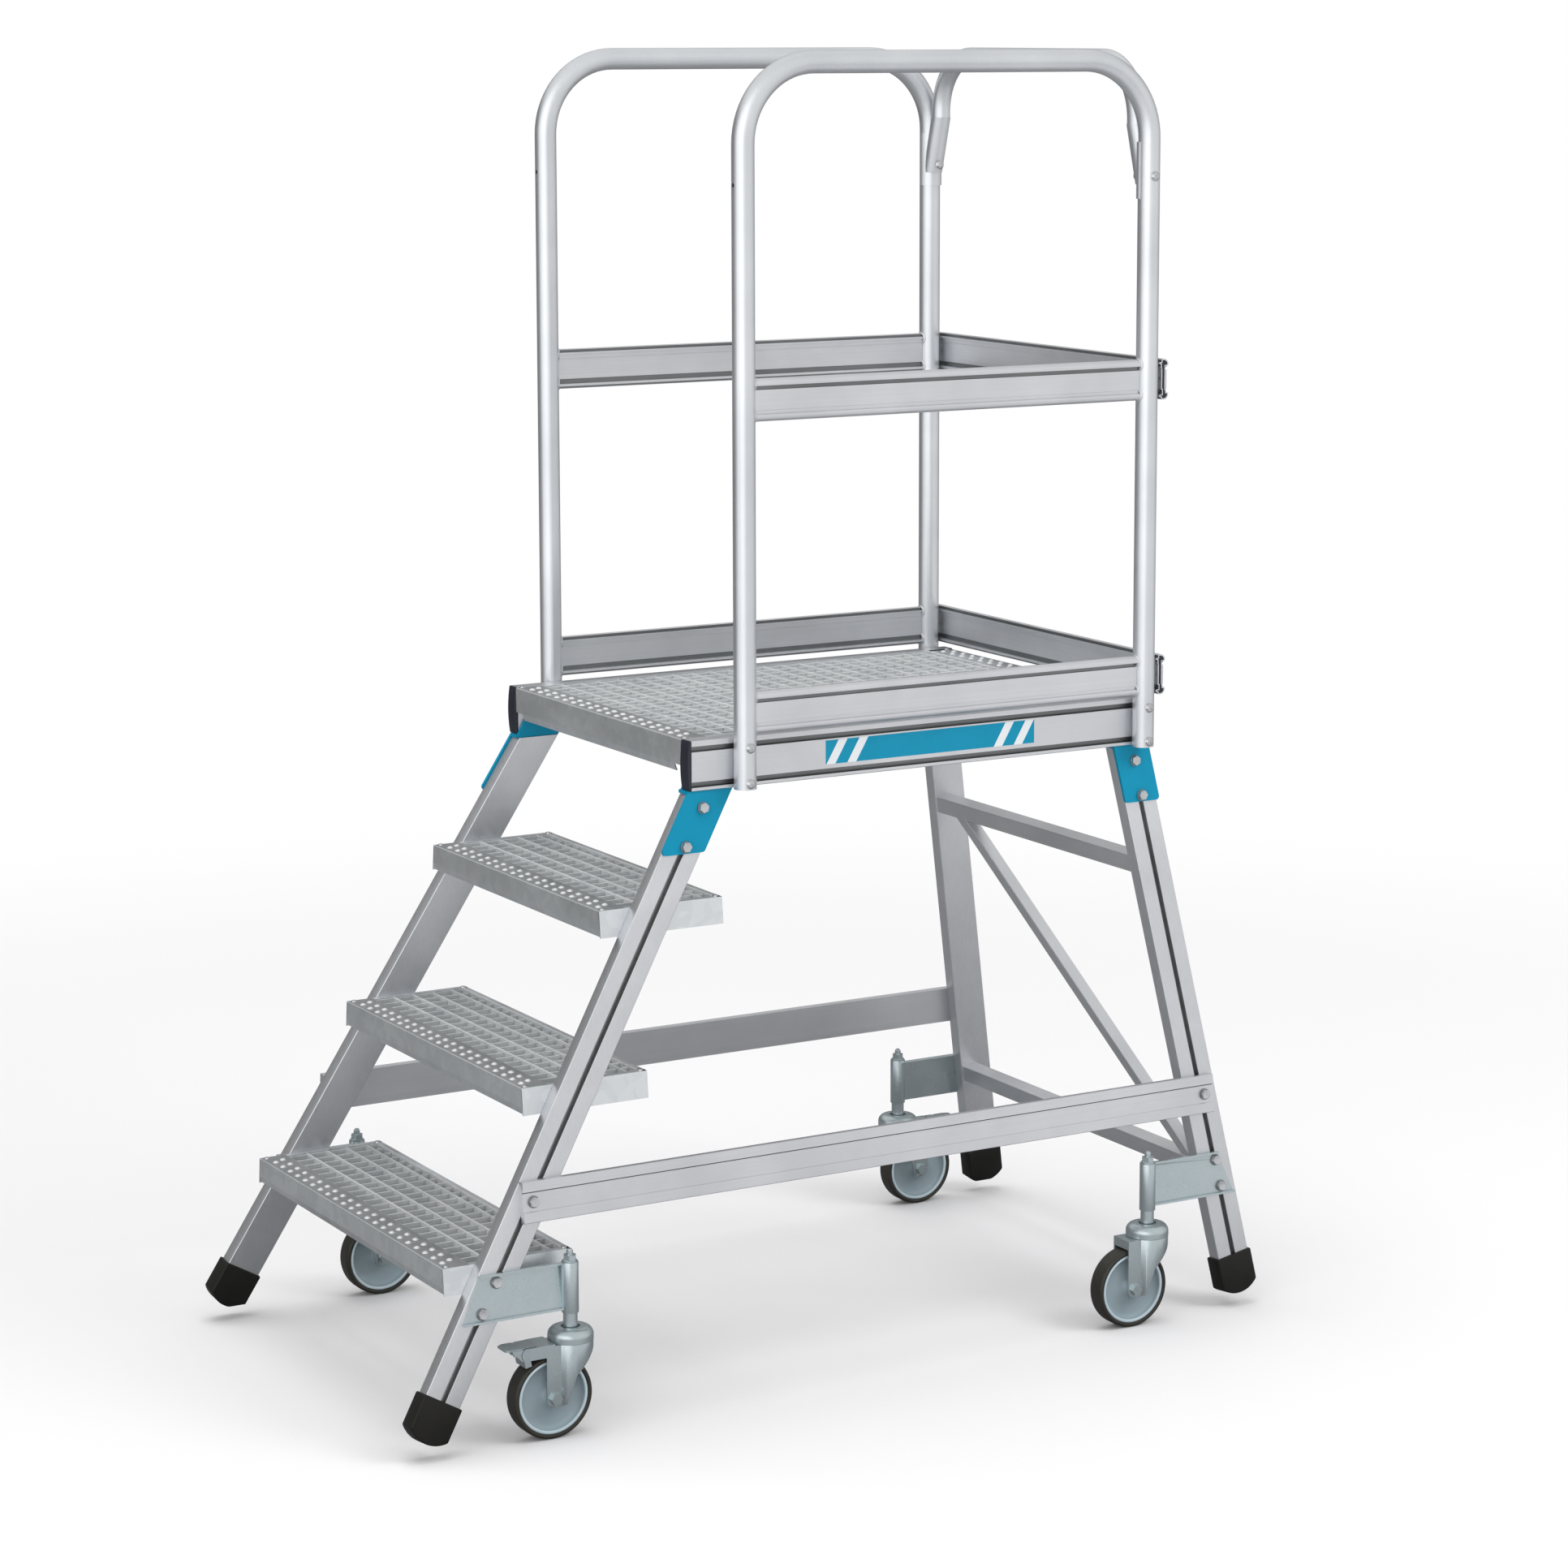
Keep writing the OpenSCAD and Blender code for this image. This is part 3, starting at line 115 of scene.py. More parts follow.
def put(tree, kind, **values):
    node = tree.nodes.new(kind)
    for key, value in values.items():
        if hasattr(node, key):
            setattr(node, key, value)
        else:
            node.inputs[key.replace("_", " ")].default_value = value
    return node


def new_group(name, ins, outs):
    tree = bpy.data.node_groups.new(name, "ShaderNodeTree")
    for label, kind, value in ins:
        socket = tree.interface.new_socket(label, in_out="INPUT", socket_type=kind)
        socket.default_value = value
    for label, kind in outs:
        tree.interface.new_socket(label, in_out="OUTPUT", socket_type=kind)
    return tree, tree.nodes.new("NodeGroupInput"), tree.nodes.new("NodeGroupOutput")


def make_drawn_grain():
    """Fine lines left by the drawing die, with soft patches of handling between them."""
    tree, given, out = new_group(
        "drawn_grain",
        [("Vector", "NodeSocketVector", (0, 0, 0)), ("Lines", "NodeSocketVector", (1, 1, 1)),
         ("Patch Scale", "NodeSocketFloat", 9.0)],
        [("Lines", "NodeSocketFloat"), ("Patches", "NodeSocketFloat")])
    stretch = put(tree, "ShaderNodeVectorMath", operation="MULTIPLY")
    link(tree, given.outputs["Vector"], stretch.inputs[0])
    link(tree, given.outputs["Lines"], stretch.inputs[1])
    lines = put(tree, "ShaderNodeTexNoise", Scale=1.0, Detail=4.0, Roughness=0.62)
    link(tree, stretch.outputs[0], lines.inputs["Vector"])
    patches = put(tree, "ShaderNodeTexNoise", Detail=3.0, Roughness=0.55)
    link(tree, given.outputs["Vector"], patches.inputs["Vector"])
    link(tree, given.outputs["Patch Scale"], patches.inputs["Scale"])
    link(tree, lines.outputs["Fac"], out.inputs["Lines"])
    link(tree, patches.outputs["Fac"], out.inputs["Patches"])
    return tree


def make_zinc_flake():
    """Grown zinc crystals: flat flakes of slightly different grey, with a cloudy bloom over them."""
    tree, given, out = new_group(
        "zinc_flake",
        [("Vector", "NodeSocketVector", (0, 0, 0)), ("Flake Scale", "NodeSocketFloat", 90.0),
         ("Bloom Scale", "NodeSocketFloat", 14.0)],
        [("Flakes", "NodeSocketFloat"), ("Bloom", "NodeSocketFloat"), ("Edges", "NodeSocketFloat")])
    bend = put(tree, "ShaderNodeTexNoise", Scale=40.0, Detail=2.0)
    link(tree, given.outputs["Vector"], bend.inputs["Vector"])
    shift = put(tree, "ShaderNodeVectorMath", operation="SCALE", Scale=0.012)
    link(tree, bend.outputs["Color"], shift.inputs[0])
    place = put(tree, "ShaderNodeVectorMath", operation="ADD")
    link(tree, given.outputs["Vector"], place.inputs[0])
    link(tree, shift.outputs[0], place.inputs[1])
    cells = put(tree, "ShaderNodeTexVoronoi", feature="F1")
    link(tree, place.outputs[0], cells.inputs["Vector"])
    link(tree, given.outputs["Flake Scale"], cells.inputs["Scale"])
    shade = put(tree, "ShaderNodeSeparateColor")
    link(tree, cells.outputs["Color"], shade.inputs[0])
    bloom = put(tree, "ShaderNodeTexNoise", Detail=5.0, Roughness=0.6)
    link(tree, given.outputs["Vector"], bloom.inputs["Vector"])
    link(tree, given.outputs["Bloom Scale"], bloom.inputs["Scale"])
    link(tree, shade.outputs[0], out.inputs["Flakes"])
    link(tree, bloom.outputs["Fac"], out.inputs["Bloom"])
    link(tree, cells.outputs["Distance"], out.inputs["Edges"])
    return tree


def make_moulded_skin():
    """Fine pebble of a moulded or coated surface, with faint rubbed areas."""
    tree, given, out = new_group(
        "moulded_skin",
        [("Vector", "NodeSocketVector", (0, 0, 0)), ("Pebble Scale", "NodeSocketFloat", 900.0),
         ("Rub Scale", "NodeSocketFloat", 22.0)],
        [("Pebble", "NodeSocketFloat"), ("Rub", "NodeSocketFloat")])
    pebble = put(tree, "ShaderNodeTexNoise", Detail=3.0, Roughness=0.5)
    rub = put(tree, "ShaderNodeTexNoise", Detail=4.0, Roughness=0.6)
    for noise, scale in ((pebble, "Pebble Scale"), (rub, "Rub Scale")):
        link(tree, given.outputs["Vector"], noise.inputs["Vector"])
        link(tree, given.outputs[scale], noise.inputs["Scale"])
    link(tree, pebble.outputs["Fac"], out.inputs["Pebble"])
    link(tree, rub.outputs["Fac"], out.inputs["Rub"])
    return tree


drawn_grain = make_drawn_grain()
zinc_flake = make_zinc_flake()
moulded_skin = make_moulded_skin()


def new_material(name, metallic, **shader):
    material = bpy.data.materials.new(name)
    material.use_nodes = True
    tree = material.node_tree
    tree.nodes.clear()
    out = put(tree, "ShaderNodeOutputMaterial")
    bsdf = put(tree, "ShaderNodeBsdfPrincipled", Metallic=metallic)
    for label, value in shader.items():
        bsdf.inputs[label.replace("_", " ")].default_value = value
    link(tree, bsdf.outputs[0], out.inputs["Surface"])
    spot = put(tree, "ShaderNodeTexCoord")
    return material, tree, bsdf, spot.outputs["Object"]


def use_group(tree, group, vector, **values):
    node = put(tree, "ShaderNodeGroup", node_tree=group)
    for label, value in values.items():
        node.inputs[label.replace("_", " ")].default_value = value
    link(tree, vector, node.inputs["Vector"])
    return node


def shade_between(tree, factor, low, high):
    """Colour between two shades, over the middle of the noise's range."""
    ramp = put(tree, "ShaderNodeValToRGB")
    ramp.color_ramp.elements[0].position = 0.28
    ramp.color_ramp.elements[0].color = (*low, 1)
    ramp.color_ramp.elements[1].position = 0.72
    ramp.color_ramp.elements[1].color = (*high, 1)
    link(tree, factor, ramp.inputs["Fac"])
    return ramp.outputs["Color"]


def range_of(tree, factor, low, high):
    """Number between two limits, over the middle of the noise's range."""
    spread = put(tree, "ShaderNodeMapRange")
    spread.inputs["From Min"].default_value = 0.25
    spread.inputs["From Max"].default_value = 0.75
    spread.inputs["To Min"].default_value = low
    spread.inputs["To Max"].default_value = high
    link(tree, factor, spread.inputs["Value"])
    return spread.outputs["Result"]


def blend_colours(tree, factor, a, b, mode="MIX"):
    mix = put(tree, "ShaderNodeMix", data_type="RGBA", blend_type=mode)
    for socket, value in ((mix.inputs[0], factor), (mix.inputs[6], a), (mix.inputs[7], b)):
        if isinstance(value, (int, float)):
            socket.default_value = value
        elif isinstance(value, tuple):
            socket.default_value = (*value, 1)
        else:
            link(tree, value, socket)
    return mix.outputs[2]


def raise_surface(tree, bsdf, height, strength, distance):
    bump = put(tree, "ShaderNodeBump", Strength=strength, Distance=distance)
    link(tree, height, bump.inputs["Height"])
    link(tree, bump.outputs["Normal"], bsdf.inputs["Normal"])


def satin_alloy(name, lines, low=(0.655, 0.665, 0.69), high=(0.755, 0.765, 0.79)):
    """Mill-finish aluminium, with die lines along the profile."""
    material, tree, bsdf, spot = new_material(name, 0.93)
    grain = use_group(tree, drawn_grain, spot, Lines=lines, Patch_Scale=7.0)
    base = shade_between(tree, grain.outputs["Patches"], low, high)
    fine = shade_between(tree, grain.outputs["Lines"], (0.93, 0.93, 0.93), (1, 1, 1))
    link(tree, blend_colours(tree, 1.0, base, fine, "MULTIPLY"), bsdf.inputs["Base Color"])
    link(tree, range_of(tree, grain.outputs["Lines"], 0.34, 0.46), bsdf.inputs["Roughness"])
    raise_surface(tree, bsdf, grain.outputs["Lines"], 0.06, 0.0004)
    return material


def zinc_coat(name, low, high, flakes, bloom, metallic, rough):
    """Zinc on steel: hot-dip flakes on the gratings, finer plate on the castors."""
    material, tree, bsdf, spot = new_material(name, metallic)
    coat = use_group(tree, zinc_flake, spot, Flake_Scale=flakes, Bloom_Scale=bloom)
    base = shade_between(tree, coat.outputs["Bloom"], low, high)
    fleck = shade_between(tree, coat.outputs["Flakes"], (0.93, 0.935, 0.94), (1, 1, 1))
    link(tree, blend_colours(tree, 1.0, base, fleck, "MULTIPLY"), bsdf.inputs["Base Color"])
    link(tree, range_of(tree, coat.outputs["Bloom"], rough, rough + 0.16), bsdf.inputs["Roughness"])
    raise_surface(tree, bsdf, coat.outputs["Bloom"], 0.05, 0.0006)
    return material


def coated(name, low, high, rough, pebble, bump, **shader):
    """Powder coat, rubber and moulded plastic."""
    material, tree, bsdf, spot = new_material(name, 0.0, **shader)
    skin = use_group(tree, moulded_skin, spot, Pebble_Scale=pebble, Rub_Scale=24.0)
    link(tree, shade_between(tree, skin.outputs["Rub"], low, high), bsdf.inputs["Base Color"])
    link(tree, range_of(tree, skin.outputs["Rub"], rough, rough + 0.14), bsdf.inputs["Roughness"])
    raise_surface(tree, bsdf, skin.outputs["Pebble"], bump, 0.0003)
    return material


def striped_strip(name):
    """Printed strip: plain blue, with two slanting pale bars at each end."""
    material, tree, bsdf, spot = new_material(name, 0.0, Specular_IOR_Level=0.25)
    skin = use_group(tree, moulded_skin, spot, Pebble_Scale=600.0, Rub_Scale=16.0)
    part = put(tree, "ShaderNodeSeparateXYZ")
    link(tree, spot, part.inputs[0])

    def calc(operation, a, b=0.0):
        node = put(tree, "ShaderNodeMath", operation=operation)
        for socket, value in zip(node.inputs, (a, b)):
            if isinstance(value, (int, float)):
                socket.default_value = value
            else:
                link(tree, value, socket)
        return node.outputs[0]

    along = calc("SUBTRACT", part.outputs["X"], strip_start + strip_len / 2)
    height = calc("SUBTRACT", part.outputs["Z"], strip_low + strip_high / 2)
    slant = calc("ABSOLUTE", calc("SUBTRACT", along, calc("MULTIPLY", height, BAR_SLANT)))
    run = calc("SUBTRACT", strip_len / 2 - BAR_SET, slant)
    phase = calc("FRACT", calc("DIVIDE", run, BAR_PITCH))
    bars = calc("LESS_THAN", phase, BAR_WIDTH / BAR_PITCH)
    near_end = calc("MULTIPLY", calc("LESS_THAN", run, 2 * BAR_PITCH - MM), calc("GREATER_THAN", run, 0.0))
    blue = shade_between(tree, skin.outputs["Rub"], (0.0, 0.24, 0.39), (0.002, 0.265, 0.43))
    colour = blend_colours(tree, calc("MULTIPLY", bars, near_end), blue, (0.73, 0.76, 0.78))
    link(tree, colour, bsdf.inputs["Base Color"])
    link(tree, range_of(tree, skin.outputs["Rub"], 0.30, 0.42), bsdf.inputs["Roughness"])
    raise_surface(tree, bsdf, skin.outputs["Pebble"], 0.04, 0.0002)
    return material


alloy_along_x = satin_alloy("satin_alloy_along", (2.0, 520.0, 520.0))
alloy_across = satin_alloy("satin_alloy_across", (520.0, 2.0, 520.0))
alloy_upright = satin_alloy("satin_alloy_upright", (420.0, 420.0, 2.0), (0.67, 0.69, 0.715), (0.77, 0.79, 0.815))
alloy_leaning = satin_alloy("satin_alloy_leaning", (240.0, 420.0, 60.0))
# Dark copy of the alloy for the faces inside grooves and slots: painted shade where little light reaches
alloy_painted_groove_shade = satin_alloy("satin_alloy_painted_groove_shade", (2.0, 520.0, 520.0), (0.18, 0.19, 0.195), (0.25, 0.26, 0.265))
# Darker copy of the alloy for the stiles' slot faces: painted shade inside the slots
alloy_painted_slot_shade = satin_alloy("satin_alloy_painted_slot_shade", (240.0, 420.0, 60.0), (0.40, 0.41, 0.415), (0.50, 0.51, 0.515))
alloy_weld = zinc_coat("alloy_weld", (0.58, 0.59, 0.60), (0.74, 0.75, 0.76), 700.0, 260.0, 0.8, 0.36)
galvanised = zinc_coat("galvanised_bar", (0.50, 0.515, 0.525), (0.60, 0.615, 0.62), 85.0, 16.0, 0.15, 0.46)
zinc_sheet = zinc_coat("galvanised_sheet", (0.72, 0.75, 0.765), (0.80, 0.83, 0.845), 60.0, 9.0, 0.88, 0.31)
nosing_zinc = zinc_coat("nosing_zinc", (0.22, 0.23, 0.236), (0.31, 0.32, 0.326), 90.0, 24.0, 0.5, 0.38)
bright_boss = zinc_coat("bright_boss", (0.80, 0.81, 0.82), (0.90, 0.905, 0.91), 300.0, 60.0, 0.7, 0.22)
zinc_plate = zinc_coat("zinc_plate", (0.47, 0.54, 0.56), (0.55, 0.62, 0.64), 900.0, 9.0, 0.86, 0.21)
bolt_plate = zinc_coat("bolt_plate", (0.52, 0.525, 0.54), (0.64, 0.645, 0.66), 400.0, 90.0, 0.95, 0.16)
# Zinc darkened to painted shade, for the washers under the hexagon heads
washer_painted_shade = zinc_coat("washer_painted_shade", (0.20, 0.205, 0.21), (0.28, 0.285, 0.29), 400.0, 90.0, 0.9, 0.26)
blue_coat = coated("blue_coat", (0.0, 0.235, 0.385), (0.002, 0.26, 0.425), 0.42, 700.0, 0.06,
                   Specular_IOR_Level=0.2)
blue_strip = striped_strip("blue_strip")
navy_cap = coated("navy_cap", (0.008, 0.009, 0.018), (0.014, 0.015, 0.028), 0.40, 1100.0, 0.10)
black_rubber = coated("black_rubber", (0.005, 0.005, 0.004), (0.011, 0.010, 0.009), 0.42, 800.0, 0.12,
                      Specular_IOR_Level=0.3)
tyre_rubber = coated("tyre_rubber", (0.017, 0.016, 0.012), (0.032, 0.030, 0.023), 0.42, 700.0, 0.10)
wheel_body = coated("wheel_body", (0.27, 0.345, 0.385), (0.32, 0.395, 0.43), 0.36, 900.0, 0.05)
wheel_ring = coated("wheel_ring", (0.52, 0.63, 0.69), (0.58, 0.69, 0.74), 0.32, 900.0, 0.04)

finish_of = {
    "deck_side_right": alloy_along_x, "deck_side_left": alloy_along_x, "mid_rails": alloy_along_x,
    "toe_boards": alloy_along_x, "stringer_right": alloy_along_x, "stringer_left": alloy_along_x,
    "rear_mid_rail": alloy_across, "rear_toe_board": alloy_across, "cross_tube_upper": alloy_across,
    "cross_tube_lower": alloy_across, "diagonal_brace": alloy_across,
    "guard_right": alloy_upright, "guard_left": alloy_upright, "rear_guard": alloy_upright,
    "front_stile_right": alloy_leaning, "front_stile_left": alloy_leaning,
    "rear_stile_right": alloy_leaning, "rear_stile_left": alloy_leaning,
    "tread_lower": zinc_sheet, "tread_middle": zinc_sheet, "tread_upper": zinc_sheet, "deck_grating": zinc_sheet,
    "front_brackets": blue_coat, "rear_brackets": blue_coat, "side_labels": blue_strip,
    "deck_end_caps": navy_cap, "rail_end_plugs": navy_cap, "rubber_feet": black_rubber,
    "hex_bolts": bolt_plate, "button_bolts": bolt_plate,
}
for castor in CASTORS:
    for part in ("housing", "spring", "plunger", "fork", "axle", "pedal"):
        finish_of[f"{castor}_{part}"] = zinc_plate
    finish_of[f"{castor}_wheel"] = wheel_body
    finish_of[f"{castor}_tyre"] = tyre_rubber
for name, node in nodes.items():
    node.data.materials.clear()
    node.data.materials.append(finish_of[name])


# Mesh building

def finish_piece(name, bm, material, body, second=None):
    """Closes the mesh, points its faces outwards and sets it on its body."""
    bmesh.ops.remove_doubles(bm, verts=bm.verts, dist=TOUCH)
    bmesh.ops.recalc_face_normals(bm, faces=bm.faces)
    mesh = bpy.data.meshes.new(name)
    bm.to_mesh(mesh)
    bm.free()
    mesh.materials.append(material)
    if second:
        mesh.materials.append(second)
    mesh.polygons.foreach_set("use_smooth", [True] * len(mesh.polygons))
    mesh.set_sharp_from_angle(angle=CREASE)
    piece = bpy.data.objects.new(name, mesh)
    bpy.context.scene.collection.objects.link(piece)
    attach(piece, body)
    return piece


def keep_template(bm):
    mesh = bpy.data.meshes.new("template")
    bmesh.ops.remove_doubles(bm, verts=bm.verts, dist=TOUCH)
    bm.to_mesh(mesh)
    bm.free()
    return mesh


def stamp(bm, template, place):
    """Adds one copy of a template at a place."""
    start = len(bm.verts)
    bm.from_mesh(template)
    bm.verts.ensure_lookup_table()
    bmesh.ops.transform(bm, matrix=place, verts=bm.verts[start:])


def take_in(bm, other):
    """Adds a mesh that is already in its place."""
    stamp(bm, keep_template(other), Matrix.Identity(4))


def cut_off(bm, spot, away):
    """Cuts off what lies beyond a plane."""
    bmesh.ops.bisect_plane(bm, geom=bm.verts[:] + bm.edges[:] + bm.faces[:], plane_co=spot, plane_no=away,
                           clear_outer=True)


def close_cut(bm):
    bmesh.ops.holes_fill(bm, edges=[e for e in bm.edges if e.is_boundary], sides=0)


def draw_out(bm, faces, vec):
    """Draws faces out along a vector."""
    drawn = bmesh.ops.extrude_face_region(bm, geom=faces)
    bmesh.ops.translate(bm, vec=vec, verts=[g for g in drawn["geom"] if isinstance(g, bmesh.types.BMVert)])


def turned(points, steps):
    """Shape turned about Z from a profile of (radius, height) points in millimetres."""
    bm = bmesh.new()
    verts = [bm.verts.new((r * MM, 0, z * MM)) for r, z in points]
    edges = [bm.edges.new(pair) for pair in zip(verts, verts[1:])]
    bmesh.ops.spin(bm, geom=verts + edges, cent=(0, 0, 0), axis=(0, 0, 1), angle=2 * pi, steps=steps,
                   use_merge=True)
    bmesh.ops.remove_doubles(bm, verts=bm.verts, dist=TOUCH)
    return bm


def sharp_edges(bm, least=30):
    return [e for e in bm.edges if len(e.link_faces) == 2 and e.calc_face_angle(0) > radians(least)]


def round_edges(bm, edges, size, segments):
    bmesh.ops.bevel(bm, geom=edges, offset=size, offset_type="OFFSET", affect="EDGES", segments=segments,
                    profile=0.5, material=-1, clamp_overlap=True)


def on_side(side):
    """Leaves the right side as it is, and mirrors it for the left."""
    return Matrix.Diagonal((1, -1, 1, 1)) if side == LEFT else Matrix.Identity(4)


def side_plane(side):
    """Frame of a side: X along it, +Y inwards from the stiles' outer face, +Z up the face."""
    tilt = Matrix.Translation((0, -stile_half, stile_top)) @ Matrix.Rotation(-SPLAY, 4, "X")
    return on_side(side) @ tilt


def stile_line(front):
    """Lean of a stile, and the frame in which it stands upright."""
    lean = FRONT_LEAN if front else -REAR_LEAN
    return lean, Matrix.Translation((front_top if front else rear_top, 0, 0)) @ Matrix.Rotation(lean, 4, "Y")


def stile_x(front, z):
    """Where a stile's middle is at a height."""
    lean = tan(FRONT_LEAN) if front else -tan(REAR_LEAN)
    return (front_top if front else rear_top) + (z - stile_top) * lean / cos(SPLAY)


OUTWARDS = Matrix.Rotation(pi / 2, 4, "X")
INWARDS = Matrix.Rotation(-pi / 2, 4, "X")
BACKWARDS = Matrix.Rotation(pi / 2, 4, "Y")


# Extrusions with their slots and grooves

def mirrored_outline(right_half):
    """Closed outline from its right-hand half, in millimetres."""
    return right_half + [(-x, y) for x, y in reversed(right_half)]


def extruded(outline, ends, place, dark=None):
    """Outline in millimetres drawn out between two ends; an end is a number, or takes the outline's point.

    Sides whose middle is in the dark part get the second material."""
    bm = bmesh.new()
    rings = []
    for end in ends:
        rings.append([bm.verts.new(place(x * MM, y * MM, end(x * MM, y * MM) if callable(end) else end))
                      for x, y in outline])
    for i, (x, y) in enumerate(outline):
        j = (i + 1) % len(outline)
        wall = bm.faces.new((rings[0][i], rings[0][j], rings[1][j], rings[1][i]))
        if dark and dark((x + outline[j][0]) / 2, (y + outline[j][1]) / 2):
            wall.material_index = 1
    for ring in rings:
        bm.faces.new(ring)
    bmesh.ops.recalc_face_normals(bm, faces=bm.faces)
    return bm


def arc(cx, cy, r, start, end, steps):
    turns = [radians(start + (end - start) * i / steps) for i in range(steps + 1)]
    return [(cx + r * cos(a), cy + r * sin(a)) for a in turns]


stile_outline = mirrored_outline(
    [(8, 8.5), (8, 2.2), (4.2, 2.2), (4.2, 0.4), (4.6, 0)]
    + arc(27.5, 1.5, 1.5, -90, 0, 4) + arc(27.5, 23.5, 1.5, 0, 90, 4))


def stile_bar(side, front):
    lean, line = stile_line(front)
    low = -boot_fall / (cos(lean) * cos(SPLAY)) - boot_seat
    # The sides of the slot take the second material, painted shade inside the slot
    bm = extruded(stile_outline, (low, stile_w), lambda x, y, s: (x, y, s),
                  lambda x, y: abs(x) < 8.5 and 1 < y < 9)
    bmesh.ops.transform(bm, matrix=side_plane(side) @ line, verts=bm.verts)
    cut_off(bm, (0, 0, stile_top), (0, 0, 1))
    close_cut(bm)
    return bm


for side, side_name in SIDES:
    for front, end_name in ((True, "front"), (False, "rear")):
        node = f"{end_name}_stile_{side_name}"
        piece = finish_piece(f"{end_name}_stile_bar_{side_name}", stile_bar(side, front), alloy_leaning, "frame",
                             second=alloy_painted_slot_shade)
        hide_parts(node)

slot_edge = [(0, 5.3), (2, 5.3), (2, 2.6), (8.5, 2.6), (8.5, 16.4), (2, 16.4), (2, 13.7), (0, 13.7)]
deck_outline = ([(1, 0), (0, 1)] + slot_edge + [(y, z + 53) for y, z in slot_edge]
                + [(0, 74), (1, 75), (24, 75), (25, 74), (25, 1), (24, 0)])
for side, side_name in SIDES:
    # Sides in the two slots take the second material, painted shade inside the slots
    bm = extruded(deck_outline, (deck_front, deck_rear),
                  lambda y, z, x: (x, side * (deck_half - y), deck_low + z), lambda y, z: 1 < y < 9)
    piece = finish_piece(f"deck_profile_{side_name}", bm, alloy_along_x, "frame", second=alloy_painted_groove_shade)
    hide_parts(f"deck_side_{side_name}")

# Rail section: round beads with undercut grooves outside, stepped recesses on the platform's side
rail_outer = (arc(0, BEAD_Z, BEAD_R, 80, -14, 9) + [(2.8, 20.4), (2.8, 15.2), (5.2, 14.8)]
              + [(5.2, -14.8), (4.2, -15.2), (4.2, -20.4)] + arc(0, -BEAD_Z, BEAD_R, 14, -80, 9))
rail_inner = (arc(0, BEAD_Z, BEAD_R, 80, 60, 3)
              + [(4.4, 30.2), (4.4, 26.6), (8.2, 26.2), (8.2, 23.2), (5.4, 22.9), (5.4, 17.0)]
              + [(6.0, 16.7), (6.0, 15.9), (4.7, 15.5), (4.7, -15.8), (3.0, -16.2), (3.0, -23.2)]
              + [(7.8, -23.6), (7.8, -27.4), (4.6, -27.8), (4.6, -30.1)] + arc(0, -BEAD_Z, BEAD_R, -60, -80, 3))
rail_outline = rail_inner + [(-x, y) for x, y in reversed(rail_outer)]


def in_groove(x, y):
    """Whether a side of the rail section lies in one of its grooves; those sides take painted shade."""
    if x < 0:
        return 14.9 < y < 20.7
    return 26.3 < y < 30.5 or -23.4 < y < -16.0 or -30.2 < y < -27.5


def side_rails(name, node, level):
    bm = bmesh.new()
    cope_r = post_r + 0.15 * MM
    cope = (lambda y, z: front_post + sqrt(cope_r ** 2 - y * y),
            lambda y, z: rear_post - sqrt(cope_r ** 2 - y * y))
    for side in (RIGHT, LEFT):
        take_in(bm, extruded(rail_outline, cope, lambda y, z, x: (x, side * (post_y - y), level + z), in_groove))
    piece = finish_piece(name, bm, alloy_along_x, "frame", second=alloy_painted_groove_shade)
    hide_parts(node)


def rear_rail_bar(name, node, level):
    rim, plug_depth = 2 * MM, 1.3 * MM
    middle = (rear_rail[0].x + rear_rail[1].x) / 2
    reach = rear_rail[1].y
    bm = extruded(rail_outline, (-reach, reach), lambda x, z, y: (middle - x, y, level + z), in_groove)
    ends = [f for f in bm.faces if abs(f.normal.y) > 0.9]
    for end in ends:
        bmesh.ops.inset_region(bm, faces=[end], thickness=rim, depth=0)
        way = -1 if end.calc_center_median().y > 0 else 1
        draw_out(bm, [end], (0, way * plug_depth, 0))
        bmesh.ops.delete(bm, geom=[end], context="FACES")
    piece = finish_piece(name, bm, alloy_across, "frame", second=alloy_painted_groove_shade)
    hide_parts(node)


side_rails("mid_rail_bars", "mid_rails", rail_levels[0])
side_rails("toe_board_bars", "toe_boards", rail_levels[1])
rear_rail_bar("rear_mid_rail_bar", "rear_mid_rail", rail_levels[0])
rear_rail_bar("rear_toe_board_bar", "rear_toe_board", rail_levels[1])

stringer_outline = [(0, -30), (11.2, -30), (12, -29.2), (12, -14.6), (11.4, -14), (10, -13.8), (10, 13.4),
                    (8.4, 13.6), (8.4, 15.0), (12, 15.2), (12, 29.2), (11.2, 30), (0, 30)]
stringer_over = 17 * MM
for side, side_name in SIDES:
    level = (stringer_z - stile_top) / cos(SPLAY)
    ends = (stile_x(True, stringer_z) - stringer_over, stile_x(False, stringer_z) + stringer_over)
    # The sides of the groove under the upper band take the second material, painted shade in the groove
    bm = extruded(stringer_outline, ends, lambda d, h, x: (x, -d, level + h),
                  lambda d, h: 7 < d < 11 and 13 < h < 16)
    bmesh.ops.transform(bm, matrix=side_plane(side), verts=bm.verts)
    piece = finish_piece(f"stringer_bar_{side_name}", bm, alloy_along_x, "frame", second=alloy_painted_groove_shade)
    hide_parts(f"stringer_{side_name}")

long, tall, nick, foil = strip_len / MM, strip_high / MM, 0.5, 0.4 * MM
strip_outline = [(nick, 0), (0, nick), (0, tall - nick), (nick, tall), (long - nick, tall), (long, tall - nick),
                 (long, nick), (long - nick, 0)]
bm = bmesh.new()
for side in (RIGHT, LEFT):
    take_in(bm, extruded(strip_outline, (0.0, foil),
                         lambda x, z, y: (strip_start + x, side * (deck_half + y), strip_low + z)))
strips = finish_piece("name_strips", bm, blue_strip, "frame")
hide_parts("side_labels")


